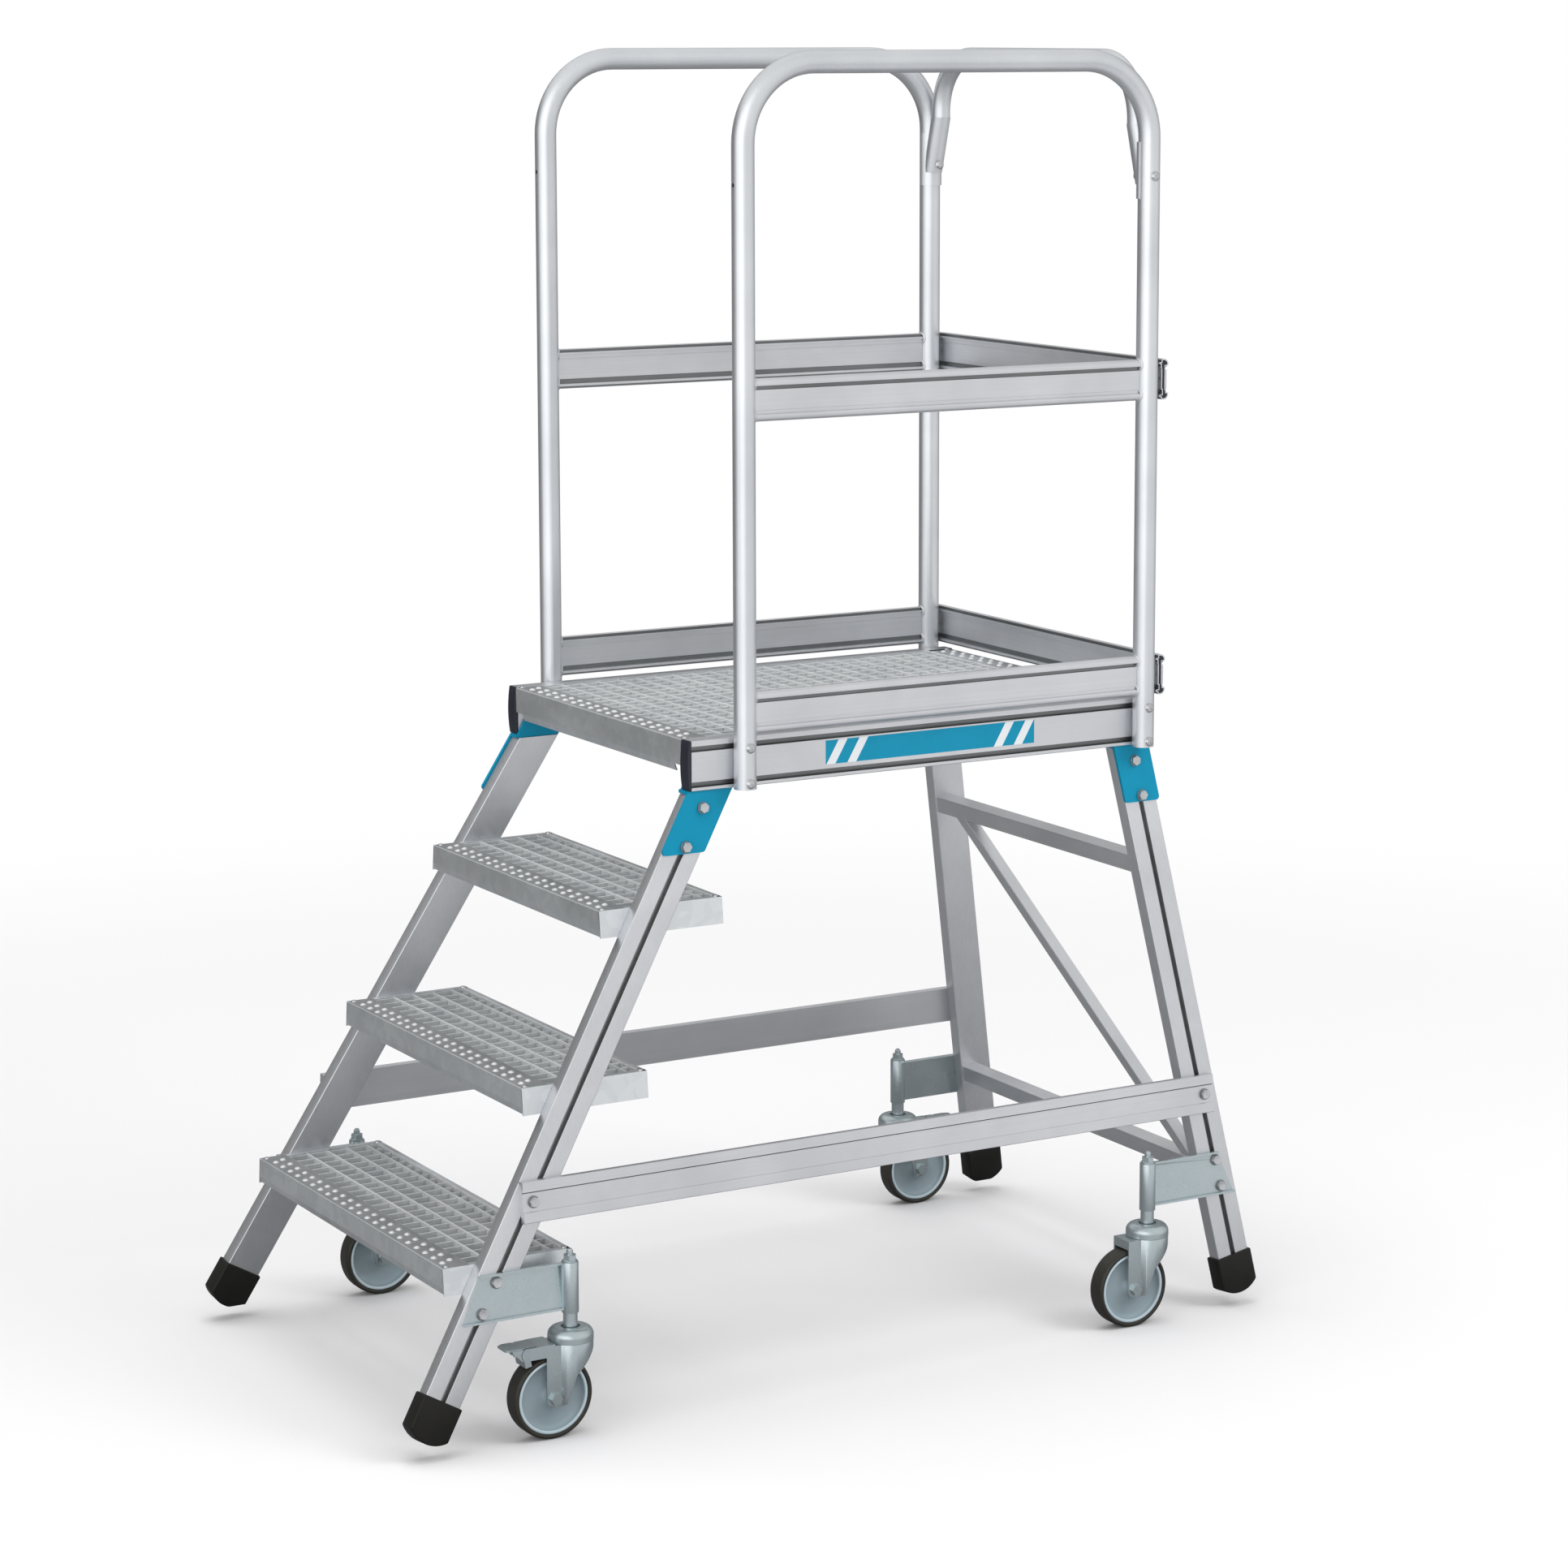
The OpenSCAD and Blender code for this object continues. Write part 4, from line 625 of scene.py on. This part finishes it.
# Fasteners

def round_bar(bm, sides, r, low, high):
    bar = bmesh.ops.create_cone(bm, cap_ends=True, segments=sides, radius1=r, radius2=r, depth=high - low)
    bmesh.ops.translate(bm, vec=(0, 0, (low + high) / 2), verts=bar["verts"])


def highest_face(bm):
    return max(bm.faces, key=lambda f: f.calc_center_median().z)


def make_hex_head():
    """Hexagon head on a washer darkened by painted shade, with its shank."""
    washer_r, washer_t, head_r, head_h = 9 * MM, 1.6 * MM, 7 * MM / cos(pi / 6), 5.3 * MM
    bm = bmesh.new()
    round_bar(bm, 32, washer_r, 0, washer_t)
    round_edges(bm, sharp_edges(bm), 0.35 * MM, 2)
    # The washer takes the second material: painted shade for the shadow round the head
    for face in bm.faces:
        face.material_index = 1
    round_bar(bm, 6, head_r, washer_t, washer_t + head_h)
    round_edges(bm, list(highest_face(bm).edges), 0.8 * MM, 2)
    bmesh.ops.inset_individual(bm, faces=[highest_face(bm)], thickness=0.9 * MM, depth=-0.25 * MM)
    round_bar(bm, 20, 4 * MM, -7.45 * MM, 0.05 * MM)
    return keep_template(bm)


def make_button_head():
    """Flanged button head with a hexagon socket."""
    socket_r = 2.9
    bm = turned([(0, -6), (4, -6), (4, 0), (7.6, 0), (7.8, 0.5), (7.2, 1.0), (6.6, 1.3), (6.2, 2.4), (5.2, 3.4),
                 (3.6, 4.0), (socket_r, 4.0), (socket_r, 1.9), (0, 1.7)], 24)
    for v in bm.verts:
        if abs(v.co.xy.length - socket_r * MM) < 10 * TOUCH:
            turn = v.co.xy.angle_signed(Vector((1, 0)))
            flat = (turn + pi / 6) % (pi / 3) - pi / 6
            v.co.x *= cos(pi / 6) / cos(flat)
            v.co.y *= cos(pi / 6) / cos(flat)
    return keep_template(bm)


hex_head = make_hex_head()
button_head = make_button_head()
stringer_face, channel_sheet, bracket_drops = 10 * MM, 3 * MM, (21 * MM, 76 * MM)

bm = bmesh.new()
for side in (RIGHT, LEFT):
    for front in (True, False):
        spots = [(stile_top - drop * cos(SPLAY), bracket_sheet) for drop in bracket_drops]
        spots += [(stringer_z, stringer_face)] + [(z, channel_sheet) for z in castor_bolts]
        for z, lift in spots:
            place = Matrix.Translation((stile_x(front, z), -lift, (z - stile_top) / cos(SPLAY)))
            turn = Matrix.Rotation(7.0 * z + 2.0 * front, 4, "Z")  # no two heads end up at the same angle
            stamp(bm, hex_head, side_plane(side) @ place @ OUTWARDS @ turn)
frame_bolts = finish_piece("frame_bolts", bm, bolt_plate, "frame", second=washer_painted_shade)
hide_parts("hex_bolts")

bm = bmesh.new()
for side in (RIGHT, LEFT):
    out = -post_y - post_r
    spots = [(x, z) for x in (front_post, rear_post) for z in slot_levels] + [(rear_post, saddle_bolt)]
    for x, z in spots:
        stamp(bm, button_head, on_side(side) @ Matrix.Translation((x, out, z)) @ OUTWARDS)
    stamp(bm, button_head, on_side(side) @ Matrix.Translation((rear_post, -saddle_nut, saddle_bolt)) @ INWARDS)
    rail_x = rear_rail[0].x + 12.5 * MM
    for z in rail_levels:
        stamp(bm, button_head, on_side(side) @ Matrix.Translation((rail_x, -post_y, z)) @ BACKWARDS)
guard_bolts = finish_piece("guard_bolts", bm, bolt_plate, "frame")
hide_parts("button_bolts")


# Rubber boots on the stile ends

def boot(side, front):
    half, wall, mouth, soft = 32.5 * MM, 3.5 * MM, 18 * MM, 2.2 * MM
    bm = bmesh.new()
    bmesh.ops.create_circle(bm, cap_ends=True, segments=72, radius=sole_r)
    bmesh.ops.rotate(bm, matrix=Matrix.Rotation(pi / 2, 3, "X"), verts=bm.verts)
    for spot, away in (((half, 0, 0), (1, 0, 0)), ((-half, 0, 0), (-1, 0, 0)), ((0, 0, mouth), (0, 0, 1))):
        cut_off(bm, spot, away)
    bmesh.ops.translate(bm, vec=(0, -wall, 0), verts=bm.verts)
    draw_out(bm, bm.faces[:], (0, stile_t + 2 * wall, 0))
    bmesh.ops.recalc_face_normals(bm, faces=bm.faces)
    round_edges(bm, sharp_edges(bm), soft, 3)
    top = max(bm.faces, key=lambda f: f.calc_center_median().z + f.calc_area())
    bmesh.ops.inset_region(bm, faces=[top], thickness=wall - soft)
    for v in top.verts:
        v.co.z = mouth
    draw_out(bm, [top], (0, 0, -mouth - boot_seat))
    bmesh.ops.delete(bm, geom=[top], context="FACES")
    lean, line = stile_line(front)
    drop = Matrix.Translation((0, 0, -boot_fall / (cos(lean) * cos(SPLAY))))
    bmesh.ops.transform(bm, matrix=side_plane(side) @ line @ drop, verts=bm.verts)
    cut_off(bm, (0, 0, foot_lift), (0, 0, -1))
    close_cut(bm)
    return bm


bm = bmesh.new()
for side in (RIGHT, LEFT):
    for front in (True, False):
        take_in(bm, boot(side, front))
boots = finish_piece("stile_boots", bm, black_rubber, "frame")
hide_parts("rubber_feet")


# Barrel-fronted caps on the deck profiles

cap_t = 6 * MM


def cap_shape():
    high = deck_top - deck_low
    bm = bmesh.new()
    bmesh.ops.create_cube(bm, size=1.0)
    bmesh.ops.scale(bm, vec=(cap_t, profile_t, high), verts=bm.verts)
    upright = [e for e in bm.edges if abs(e.verts[0].co.z - e.verts[1].co.z) > high / 2]
    bmesh.ops.subdivide_edges(bm, edges=upright, cuts=9, use_grid_fill=True)
    for v in bm.verts:
        if v.co.x < 0:
            v.co.x += cap_t / 2 * (2 * v.co.z / high) ** 2
    round_edges(bm, sharp_edges(bm, 50), 1.1 * MM, 3)
    return keep_template(bm)


cap = cap_shape()
bm = bmesh.new()
for side in (RIGHT, LEFT):
    middle = side * (deck_half - profile_t / 2)
    for x, turn in ((deck_front - cap_t / 2, 0), (deck_rear + cap_t / 2, pi)):
        stamp(bm, cap, Matrix.Translation((x, middle, (deck_top + deck_low) / 2)) @ Matrix.Rotation(turn, 4, "Z"))
caps = finish_piece("profile_caps", bm, navy_cap, "frame")
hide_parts("deck_end_caps")


# Treads and deck: folded sheet trays with bearing bars, cross plates and a punched nosing

# Millimetres: pitch of the bearing bars, and of the cross plates and bosses
GRID_PITCH, CROSS_PITCH = 33.4, 28.5
# Width of a nosing, thickness and bend of the sheet, lap of a joint, width and thickness of a tray's end strips
NOSING_W, SHEET, BEND, LAP, EDGE_W, EDGE_T = 43.0, 2.0, 2.5, 0.05, 11, 3
BAR_H, PLATE_H, LIP_H, LEAST_GAP = 26, 15, 11, 12
bar_outline = [(-1.6, -BAR_H), (-1.6, -1.5), (-0.9, -0.4), (0, 0), (0.9, -0.4), (1.6, -1.5), (1.6, -BAR_H)]
plate_outline = [(-0.9, -PLATE_H), (-0.9, -2.2), (-0.4, -1.7), (0.4, -1.7), (0.9, -2.2), (0.9, -PLATE_H)]


def inner_half(z):
    """Half of the clear width between the stiles at a height."""
    return stile_half + (stile_top - z) * tan(SPLAY) - stile_t / cos(SPLAY)


def grating(name, length, apron, rear_strip, lip_set, reach, plate_set):
    """Tray and grid in place of a solid; lengths in millimetres, reach gives the half width at a height."""
    lo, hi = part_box(name)

    def across(bm, outline, outer, dark=None):
        ends = (lambda x, z: -outer(hi.z + z), lambda x, z: outer(hi.z + z))
        take_in(bm, extruded(outline, ends, lambda x, z, y: (lo.x + x, y, hi.z + z), dark))

    def edges(bm, outline, outer, inner):
        for side in (RIGHT, LEFT):
            ends = (lambda x, z: outer(hi.z + z), lambda x, z: inner(hi.z + z))
            take_in(bm, extruded(outline, ends, lambda x, z, y: (lo.x + x, side * y, hi.z + z)))

    def inset(by):
        return lambda z: reach(z) - by * MM

    tray = bmesh.new()
    fold = apron - LIP_H
    front = ([(NOSING_W, 0)] + arc(BEND, -BEND, BEND, 90, 180, 4) + [(0, -fold), (SHEET, -fold)]
             + arc(BEND, -BEND, BEND - SHEET, 180, 90, 2) + [(NOSING_W, -SHEET)])
    across(tray, front, inset(1), lambda x, z: z > -0.3)
    across(tray, [(0, LAP - fold), (SHEET, LAP - fold), (6, -apron), (4, -apron)], inset(lip_set))
    rear_h = BAR_H if rear_strip < NOSING_W else apron
    across(tray, [(length - rear_strip, 0), (length, 0), (length, -rear_h), (length - SHEET, -rear_h),
                  (length - SHEET, -SHEET), (length - rear_strip, -SHEET)], inset(1))
    edges(tray, [(plate_set, -LAP), (length, -LAP), (length, -apron), (plate_set, -apron)], reach, inset(SHEET))
    edges(tray, [(NOSING_W, 0), (length, 0), (length, -EDGE_T), (NOSING_W, -EDGE_T)], inset(1), inset(EDGE_W))
    piece = finish_piece(f"{name}_tray", tray, zinc_sheet, "frame", second=nosing_zinc)
    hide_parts(name)

    grid = bmesh.new()
    start, end = NOSING_W, length - rear_strip
    bays = int((end - start - LEAST_GAP) / GRID_PITCH)
    for x in [start + i * GRID_PITCH for i in range(bays + 1)] + [end]:
        across(grid, [(x + s, z) for s, z in bar_outline], inset(1.5))
    half = reach(hi.z) - EDGE_W * MM
    count = round(2 * half / (CROSS_PITCH * MM))
    for i in range(count + 1):
        y = half * (2 * i / count - 1)
        take_in(grid, extruded(plate_outline, (lo.x + start * MM, lo.x + end * MM),
                               lambda s, z, x: (x, y + s, hi.z + z)))
    finish_piece(f"{name}_grid", grid, galvanised, "frame")


for tread in TREADS:
    grating(tread, length=204, apron=40, rear_strip=8, lip_set=1, reach=inner_half, plate_set=0)
deck_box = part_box("deck_grating")
grating("deck_grating", length=(deck_box[1].x - deck_box[0].x) / MM, apron=50, rear_strip=NOSING_W, lip_set=22,
        reach=lambda z: deck_box[1].y, plate_set=15)


# Punched bosses on the nosings, and the pan screws at the corners

boss_mesh = keep_template(turned([(5.2, -0.2), (4.5, 0.9), (3.4, 1.9), (2.5, 2.1), (1.8, 1.5), (1.5, -0.4)], 12))
screw_mesh = keep_template(
    turned([(0, -1.5), (4.6, -1.5), (4.6, 0.4), (4.2, 1.4), (3.0, 2.1), (1.0, 2.3), (0, 1.6)], 16))


def boss_rows(name, front_x, top_z, half, inward):
    """Two staggered rows of raised bosses along a nosing strip."""
    bm = bmesh.new()
    count = round(2 * half / (CROSS_PITCH * MM))
    pitch = 2 * half / count
    for i in range(count):
        y = (i + 0.5) * pitch - half
        for set_in, slide in ((12 * MM, -4.5 * MM), (27.5 * MM, 4.5 * MM)):
            stamp(bm, boss_mesh, Matrix.Translation((front_x + inward * set_in, y + slide, top_z)))
    finish_piece(name, bm, bright_boss, "frame")


def corner_screw_set(bm, xs, ys, top_z):
    for x in xs:
        for y in ys:
            stamp(bm, screw_mesh, Matrix.Translation((x, y, top_z)))


corner_screws = bmesh.new()
for tread in TREADS:
    lo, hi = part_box(tread)
    top_half = hi.y - 40.3 * MM * tan(SPLAY) - 3 * MM  # the tread is widest at its lower edge
    boss_rows(f"{tread}_bosses", lo.x, hi.z, top_half - 14 * MM, 1)
    screw_y = top_half - 5 * MM
    corner_screw_set(corner_screws, (lo.x + 9 * MM, hi.x - 7 * MM), (-screw_y, screw_y), hi.z)
lo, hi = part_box("deck_grating")
boss_rows("deck_front_bosses", lo.x, hi.z, hi.y - 16 * MM, 1)
boss_rows("deck_rear_bosses", hi.x, hi.z, hi.y - 16 * MM, -1)
corner_screw_set(corner_screws, (lo.x + 9 * MM, hi.x - 9 * MM), (lo.y + 6 * MM, hi.y - 6 * MM), hi.z)
finish_piece("corner_screws", corner_screws, bolt_plate, "frame")


# Weld beads where the side rails meet the posts

def weld_ring(side, post_x, way, z):
    """Rippled ring round one bead of a rail, bent to the post."""
    bead, weld_r = BEAD_R * MM, 1.5 * MM
    bm = bmesh.new()
    bmesh.ops.create_circle(bm, cap_ends=False, segments=8, radius=weld_r)
    bmesh.ops.rotate(bm, matrix=Matrix.Rotation(pi / 2, 3, "X"), verts=bm.verts)
    bmesh.ops.translate(bm, vec=(0, 0, bead + 0.4 * MM), verts=bm.verts)
    bmesh.ops.spin(bm, geom=bm.verts[:] + bm.edges[:], cent=(0, 0, 0), axis=(1, 0, 0), angle=2 * pi, steps=28,
                   use_merge=True)
    for v in bm.verts:
        ripple = 1 + 0.10 * sin(40 * (v.co.y + v.co.z) / bead)
        v.co.x = way * (sqrt(post_r ** 2 - min(v.co.y, post_r, key=abs) ** 2) + 0.5 * MM + v.co.x * ripple)
    bmesh.ops.translate(bm, vec=(post_x, -post_y, z), verts=bm.verts)
    bmesh.ops.transform(bm, matrix=on_side(side), verts=bm.verts)
    return bm


bm = bmesh.new()
for side in (RIGHT, LEFT):
    for post_x, way in ((front_post, 1), (rear_post, -1)):
        for level in rail_levels:
            for bead_z in (level + BEAD_Z * MM, level - BEAD_Z * MM):
                take_in(bm, weld_ring(side, post_x, way, bead_z))
finish_piece("rail_welds", bm, alloy_weld, "frame")


# Plugs in the lower ends of the posts

plug_mesh = keep_template(turned([(0, 10), (14.6, 10), (14.6, 1.2), (14.0, 0.6), (6, 0.4), (0, 1.0)], 32))
bm = bmesh.new()
for side in (RIGHT, LEFT):
    for x in (front_post, rear_post):
        stamp(bm, plug_mesh, Matrix.Translation((x, side * post_y, deck_low)))
finish_piece("post_plugs", bm, navy_cap, "frame")


# Pressed steel pieces with their edges rounded off

def softened(name, node, material, body, size):
    """Copy of a solid with rounded edges, in its place."""
    bm = bmesh.new()
    bm.from_mesh(nodes[node].data)
    bmesh.ops.remove_doubles(bm, verts=bm.verts, dist=TOUCH)
    bmesh.ops.dissolve_limit(bm, angle_limit=radians(0.5), verts=bm.verts, edges=bm.edges)
    round_edges(bm, sharp_edges(bm, 40), size, 2)
    piece = finish_piece(name, bm, material, body)
    for face in piece.data.polygons:
        face.use_smooth = face.area < FLAT_AREA
    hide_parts(node)


for castor in CASTORS:
    softened(f"{castor}_fork_press", f"{castor}_fork", zinc_plate, f"{castor}_swivel", 0.6 * MM)
    softened(f"{castor}_housing_weld", f"{castor}_housing", zinc_plate, "frame", 0.6 * MM)
for bracket in ("front_brackets", "rear_brackets"):
    softened(f"{bracket}_coat", bracket, blue_coat, "frame", 0.7 * MM)


# Springs in the castor housings, each built at the length of its solid; the real spring shortens as its castor
# slides up

COIL_TURNS, COIL_R, WIRE_R, SLIDE = 6, 7.5 * MM, 1.0 * MM, 22 * MM


def coil(height):
    """Round wire wound upwards about Z."""
    bm = bmesh.new()
    start = Matrix.Translation((COIL_R, 0, WIRE_R)) @ Matrix.Rotation(pi / 2, 4, "X")
    bmesh.ops.create_circle(bm, cap_ends=False, segments=8, radius=WIRE_R, matrix=start)
    steps = COIL_TURNS * 16
    rise = (height - 2 * WIRE_R) / steps
    bmesh.ops.spin(bm, geom=bm.verts[:] + bm.edges[:], cent=(0, 0, 0), axis=(0, 0, 1), dvec=(0, 0, rise),
                   angle=COIL_TURNS * 2 * pi, steps=steps)
    bmesh.ops.holes_fill(bm, edges=bm.edges[:], sides=8)
    return bm


for castor in CASTORS:
    lo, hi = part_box(f"{castor}_spring")
    middle = joint_at[f"{castor}_spring_slide"]
    bm = coil(hi.z - lo.z)
    bmesh.ops.translate(bm, vec=(middle.x, middle.y, lo.z), verts=bm.verts)
    piece = finish_piece(f"{castor}_spring_coil", bm, zinc_plate, "frame")
    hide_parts(f"{castor}_spring")
    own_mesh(piece)


# Castor wheels, turned about their axles

def turned_wheel(points, steps=72):
    bm = turned(points, steps)
    bmesh.ops.rotate(bm, matrix=Matrix.Rotation(pi / 2, 3, "X"), verts=bm.verts)
    return keep_template(bm)


def both_halves(half):
    """Closed section from the half on one side of the wheel's middle."""
    return half + [(r, -a) for r, a in reversed(half)] + half[:1]


half_body = [(5.05, 17.2), (11.5, 17.2), (12.6, 16.6), (13.4, 13.0), (15.5, 9.6), (20, 7.2), (34, 5.6), (43, 5.4),
             (47.2, 6.4), (49.4, 8.6), (50.4, 11.6), (51.2, 12.9), (55.0, 12.9)]
wheel_mesh = turned_wheel(both_halves(half_body))
half_ring = [(50.6, 12.2), (50.9, 13.6), (51.9, 14.3), (53.8, 14.3), (54.9, 13.7), (55.05, 12.2)]
ring_mesh = turned_wheel(half_ring + half_ring[:1])
half_tyre = [(54.95, 13.2), (56.0, 14.9), (57.6, 15.7), (59.4, 15.9), (60.8, 15.2), (61.7, 13.8), (62.3, 11.6),
             (62.5, 8.0)]
tyre_mesh = turned_wheel(both_halves(half_tyre), 96)

for castor in CASTORS:
    body = f"{castor}_roll"
    centre = Matrix.Translation(joint_at[f"{castor}_wheel_roll"])
    bm = bmesh.new()
    stamp(bm, wheel_mesh, centre)
    piece = finish_piece(f"{castor}_wheel_body", bm, wheel_body, body)
    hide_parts(f"{castor}_wheel")
    bm = bmesh.new()
    stamp(bm, ring_mesh, centre)
    stamp(bm, ring_mesh, centre @ Matrix.Rotation(pi, 4, "Z"))
    finish_piece(f"{castor}_wheel_rings", bm, wheel_ring, body)
    bm = bmesh.new()
    stamp(bm, tyre_mesh, centre)
    piece = finish_piece(f"{castor}_tyre_band", bm, tyre_rubber, body)
    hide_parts(f"{castor}_tyre")


# Stage, light and camera

def make_floor():
    """Pale paper that fades to white for the camera, and is darker where the metal mirrors it."""
    floor_r, fade_start, fade_end, dark_start, dark_end = 4.3, 1.5, 4.2, -1.2, -0.4
    bm = bmesh.new()
    bmesh.ops.create_circle(bm, cap_ends=True, segments=96, radius=floor_r)
    mesh = bpy.data.meshes.new("studio_floor")
    bm.to_mesh(mesh)
    bm.free()
    floor = bpy.data.objects.new("studio_floor", mesh)
    bpy.context.scene.collection.objects.link(floor)
    material = bpy.data.materials.new("floor_paper")
    material.use_nodes = True
    tree = material.node_tree
    tree.nodes.clear()
    out = put(tree, "ShaderNodeOutputMaterial")
    paper = put(tree, "ShaderNodeBsdfDiffuse")
    glow = put(tree, "ShaderNodeEmission", Color=(1, 1, 1, 1), Strength=1.0)
    spot = put(tree, "ShaderNodeTexCoord")
    length = put(tree, "ShaderNodeVectorMath", operation="LENGTH")
    link(tree, spot.outputs["Object"], length.inputs[0])
    fade = put(tree, "ShaderNodeMapRange", interpolation_type="SMOOTHSTEP")
    fade.inputs["From Min"].default_value = fade_start
    fade.inputs["From Max"].default_value = fade_end
    link(tree, length.outputs["Value"], fade.inputs["Value"])
    path = put(tree, "ShaderNodeLightPath")
    part = put(tree, "ShaderNodeSeparateXYZ")
    link(tree, spot.outputs["Object"], part.inputs[0])
    depth = put(tree, "ShaderNodeMapRange", interpolation_type="SMOOTHSTEP")
    depth.inputs["From Min"].default_value = dark_start
    depth.inputs["From Max"].default_value = dark_end
    link(tree, part.outputs["Y"], depth.inputs["Value"])
    cast = blend_colours(tree, depth.outputs["Result"], (0.56, 0.56, 0.57), (0.235, 0.235, 0.24))
    tone = blend_colours(tree, path.outputs["Is Camera Ray"], cast, (0.755, 0.75, 0.757))
    link(tree, tone, paper.inputs["Color"])
    amount = put(tree, "ShaderNodeMath", operation="MULTIPLY")
    link(tree, fade.outputs["Result"], amount.inputs[0])
    link(tree, path.outputs["Is Camera Ray"], amount.inputs[1])
    mix = put(tree, "ShaderNodeMixShader")
    link(tree, amount.outputs[0], mix.inputs[0])
    link(tree, paper.outputs[0], mix.inputs[1])
    link(tree, glow.outputs[0], mix.inputs[2])
    link(tree, mix.outputs[0], out.inputs["Surface"])
    mesh.materials.append(material)


def make_world():
    """White for the camera; for all else a room that is bright in front and above, and dark behind and below."""
    world = bpy.data.worlds.new("studio")
    world.use_nodes = True
    tree = world.node_tree
    tree.nodes.clear()
    out = put(tree, "ShaderNodeOutputWorld")
    back = put(tree, "ShaderNodeBackground", Color=(1, 1, 1, 1))
    spot = put(tree, "ShaderNodeTexCoord")

    def wash(axis, start, end, low, high):
        lean = put(tree, "ShaderNodeVectorMath", operation="DOT_PRODUCT")
        lean.inputs[1].default_value = axis
        link(tree, spot.outputs["Generated"], lean.inputs[0])
        room = put(tree, "ShaderNodeMapRange", interpolation_type="SMOOTHSTEP")
        for label, value in zip(("From Min", "From Max", "To Min", "To Max"), (start, end, low, high)):
            room.inputs[label].default_value = value
        link(tree, lean.outputs["Value"], room.inputs["Value"])
        return room.outputs["Result"]

    def join(operation, a, b):
        node = put(tree, "ShaderNodeMath", operation=operation)
        link(tree, a, node.inputs[0])
        link(tree, b, node.inputs[1])
        return node.outputs[0]

    walls = wash((0.2, -0.98, 0.0), -0.66, 0.85, 0.17, 0.88)
    window = wash((-0.91, -0.42, 0.0), 0.62, 0.86, 0.0, 1.0)
    ceiling = wash((0.0, 0.0, 1.0), 0.22, 0.60, 0.0, 0.80)
    ground = wash((0.0, 0.0, 1.0), -0.52, -0.24, 0.08, 1.0)
    room = join("MULTIPLY", join("MAXIMUM", join("ADD", walls, window), ceiling), ground)
    path = put(tree, "ShaderNodeLightPath")
    level = put(tree, "ShaderNodeMix", data_type="FLOAT")
    link(tree, path.outputs["Is Camera Ray"], level.inputs[0])
    link(tree, room, level.inputs[2])
    level.inputs[3].default_value = 1.0
    link(tree, level.outputs[0], back.inputs["Strength"])
    link(tree, back.outputs[0], out.inputs["Surface"])
    bpy.context.scene.world = world


def make_lamp(name, place, aim, size, watts):
    """Square soft lamp that the metal doesn't mirror."""
    lamp = bpy.data.lights.new(name, "AREA")
    lamp.shape = "SQUARE"
    lamp.size = size
    lamp.energy = watts
    holder = bpy.data.objects.new(name, lamp)
    holder.location = place
    holder.rotation_euler = (Vector(aim) - Vector(place)).to_track_quat("-Z", "Y").to_euler()
    holder.visible_glossy = False
    bpy.context.scene.collection.objects.link(holder)


def make_camera():
    """Camera of the photo; its lens shift is kept small."""
    turn, dip = radians(-30.628), radians(8.652)
    focal_px, centre_u, centre_v, frame_px, sensor = 5038.7, 1046.0, 800.0, 1932.0, 36.0
    back = Vector((sin(turn) * cos(dip), -cos(turn) * cos(dip), sin(dip)))
    right = Vector((cos(turn), sin(turn), 0))
    up = back.cross(right)
    camera = bpy.data.cameras.new("photo_camera")
    camera.sensor_width = sensor
    camera.lens = focal_px * sensor / frame_px
    camera.shift_x = (frame_px / 2 - centre_u) / frame_px
    camera.shift_y = (centre_v - frame_px / 2) / frame_px
    camera.clip_end = 60.0
    holder = bpy.data.objects.new("photo_camera", camera)
    stand = Matrix((right, up, back)).transposed().to_4x4()
    stand.translation = Vector((-3.0302, -5.4762, 2.0127))
    holder.matrix_world = stand
    bpy.context.scene.collection.objects.link(holder)
    bpy.context.scene.camera = holder


make_floor()
make_world()
make_lamp("key_lamp", (3.2, -3.6, 4.4), (0, 0, 0.8), 2.6, 120.0)
make_lamp("top_lamp", (-0.6, 0.4, 5.2), (0, 0, 0.4), 3.4, 130.0)
make_camera()
bpy.context.scene.view_settings.view_transform = "Standard"
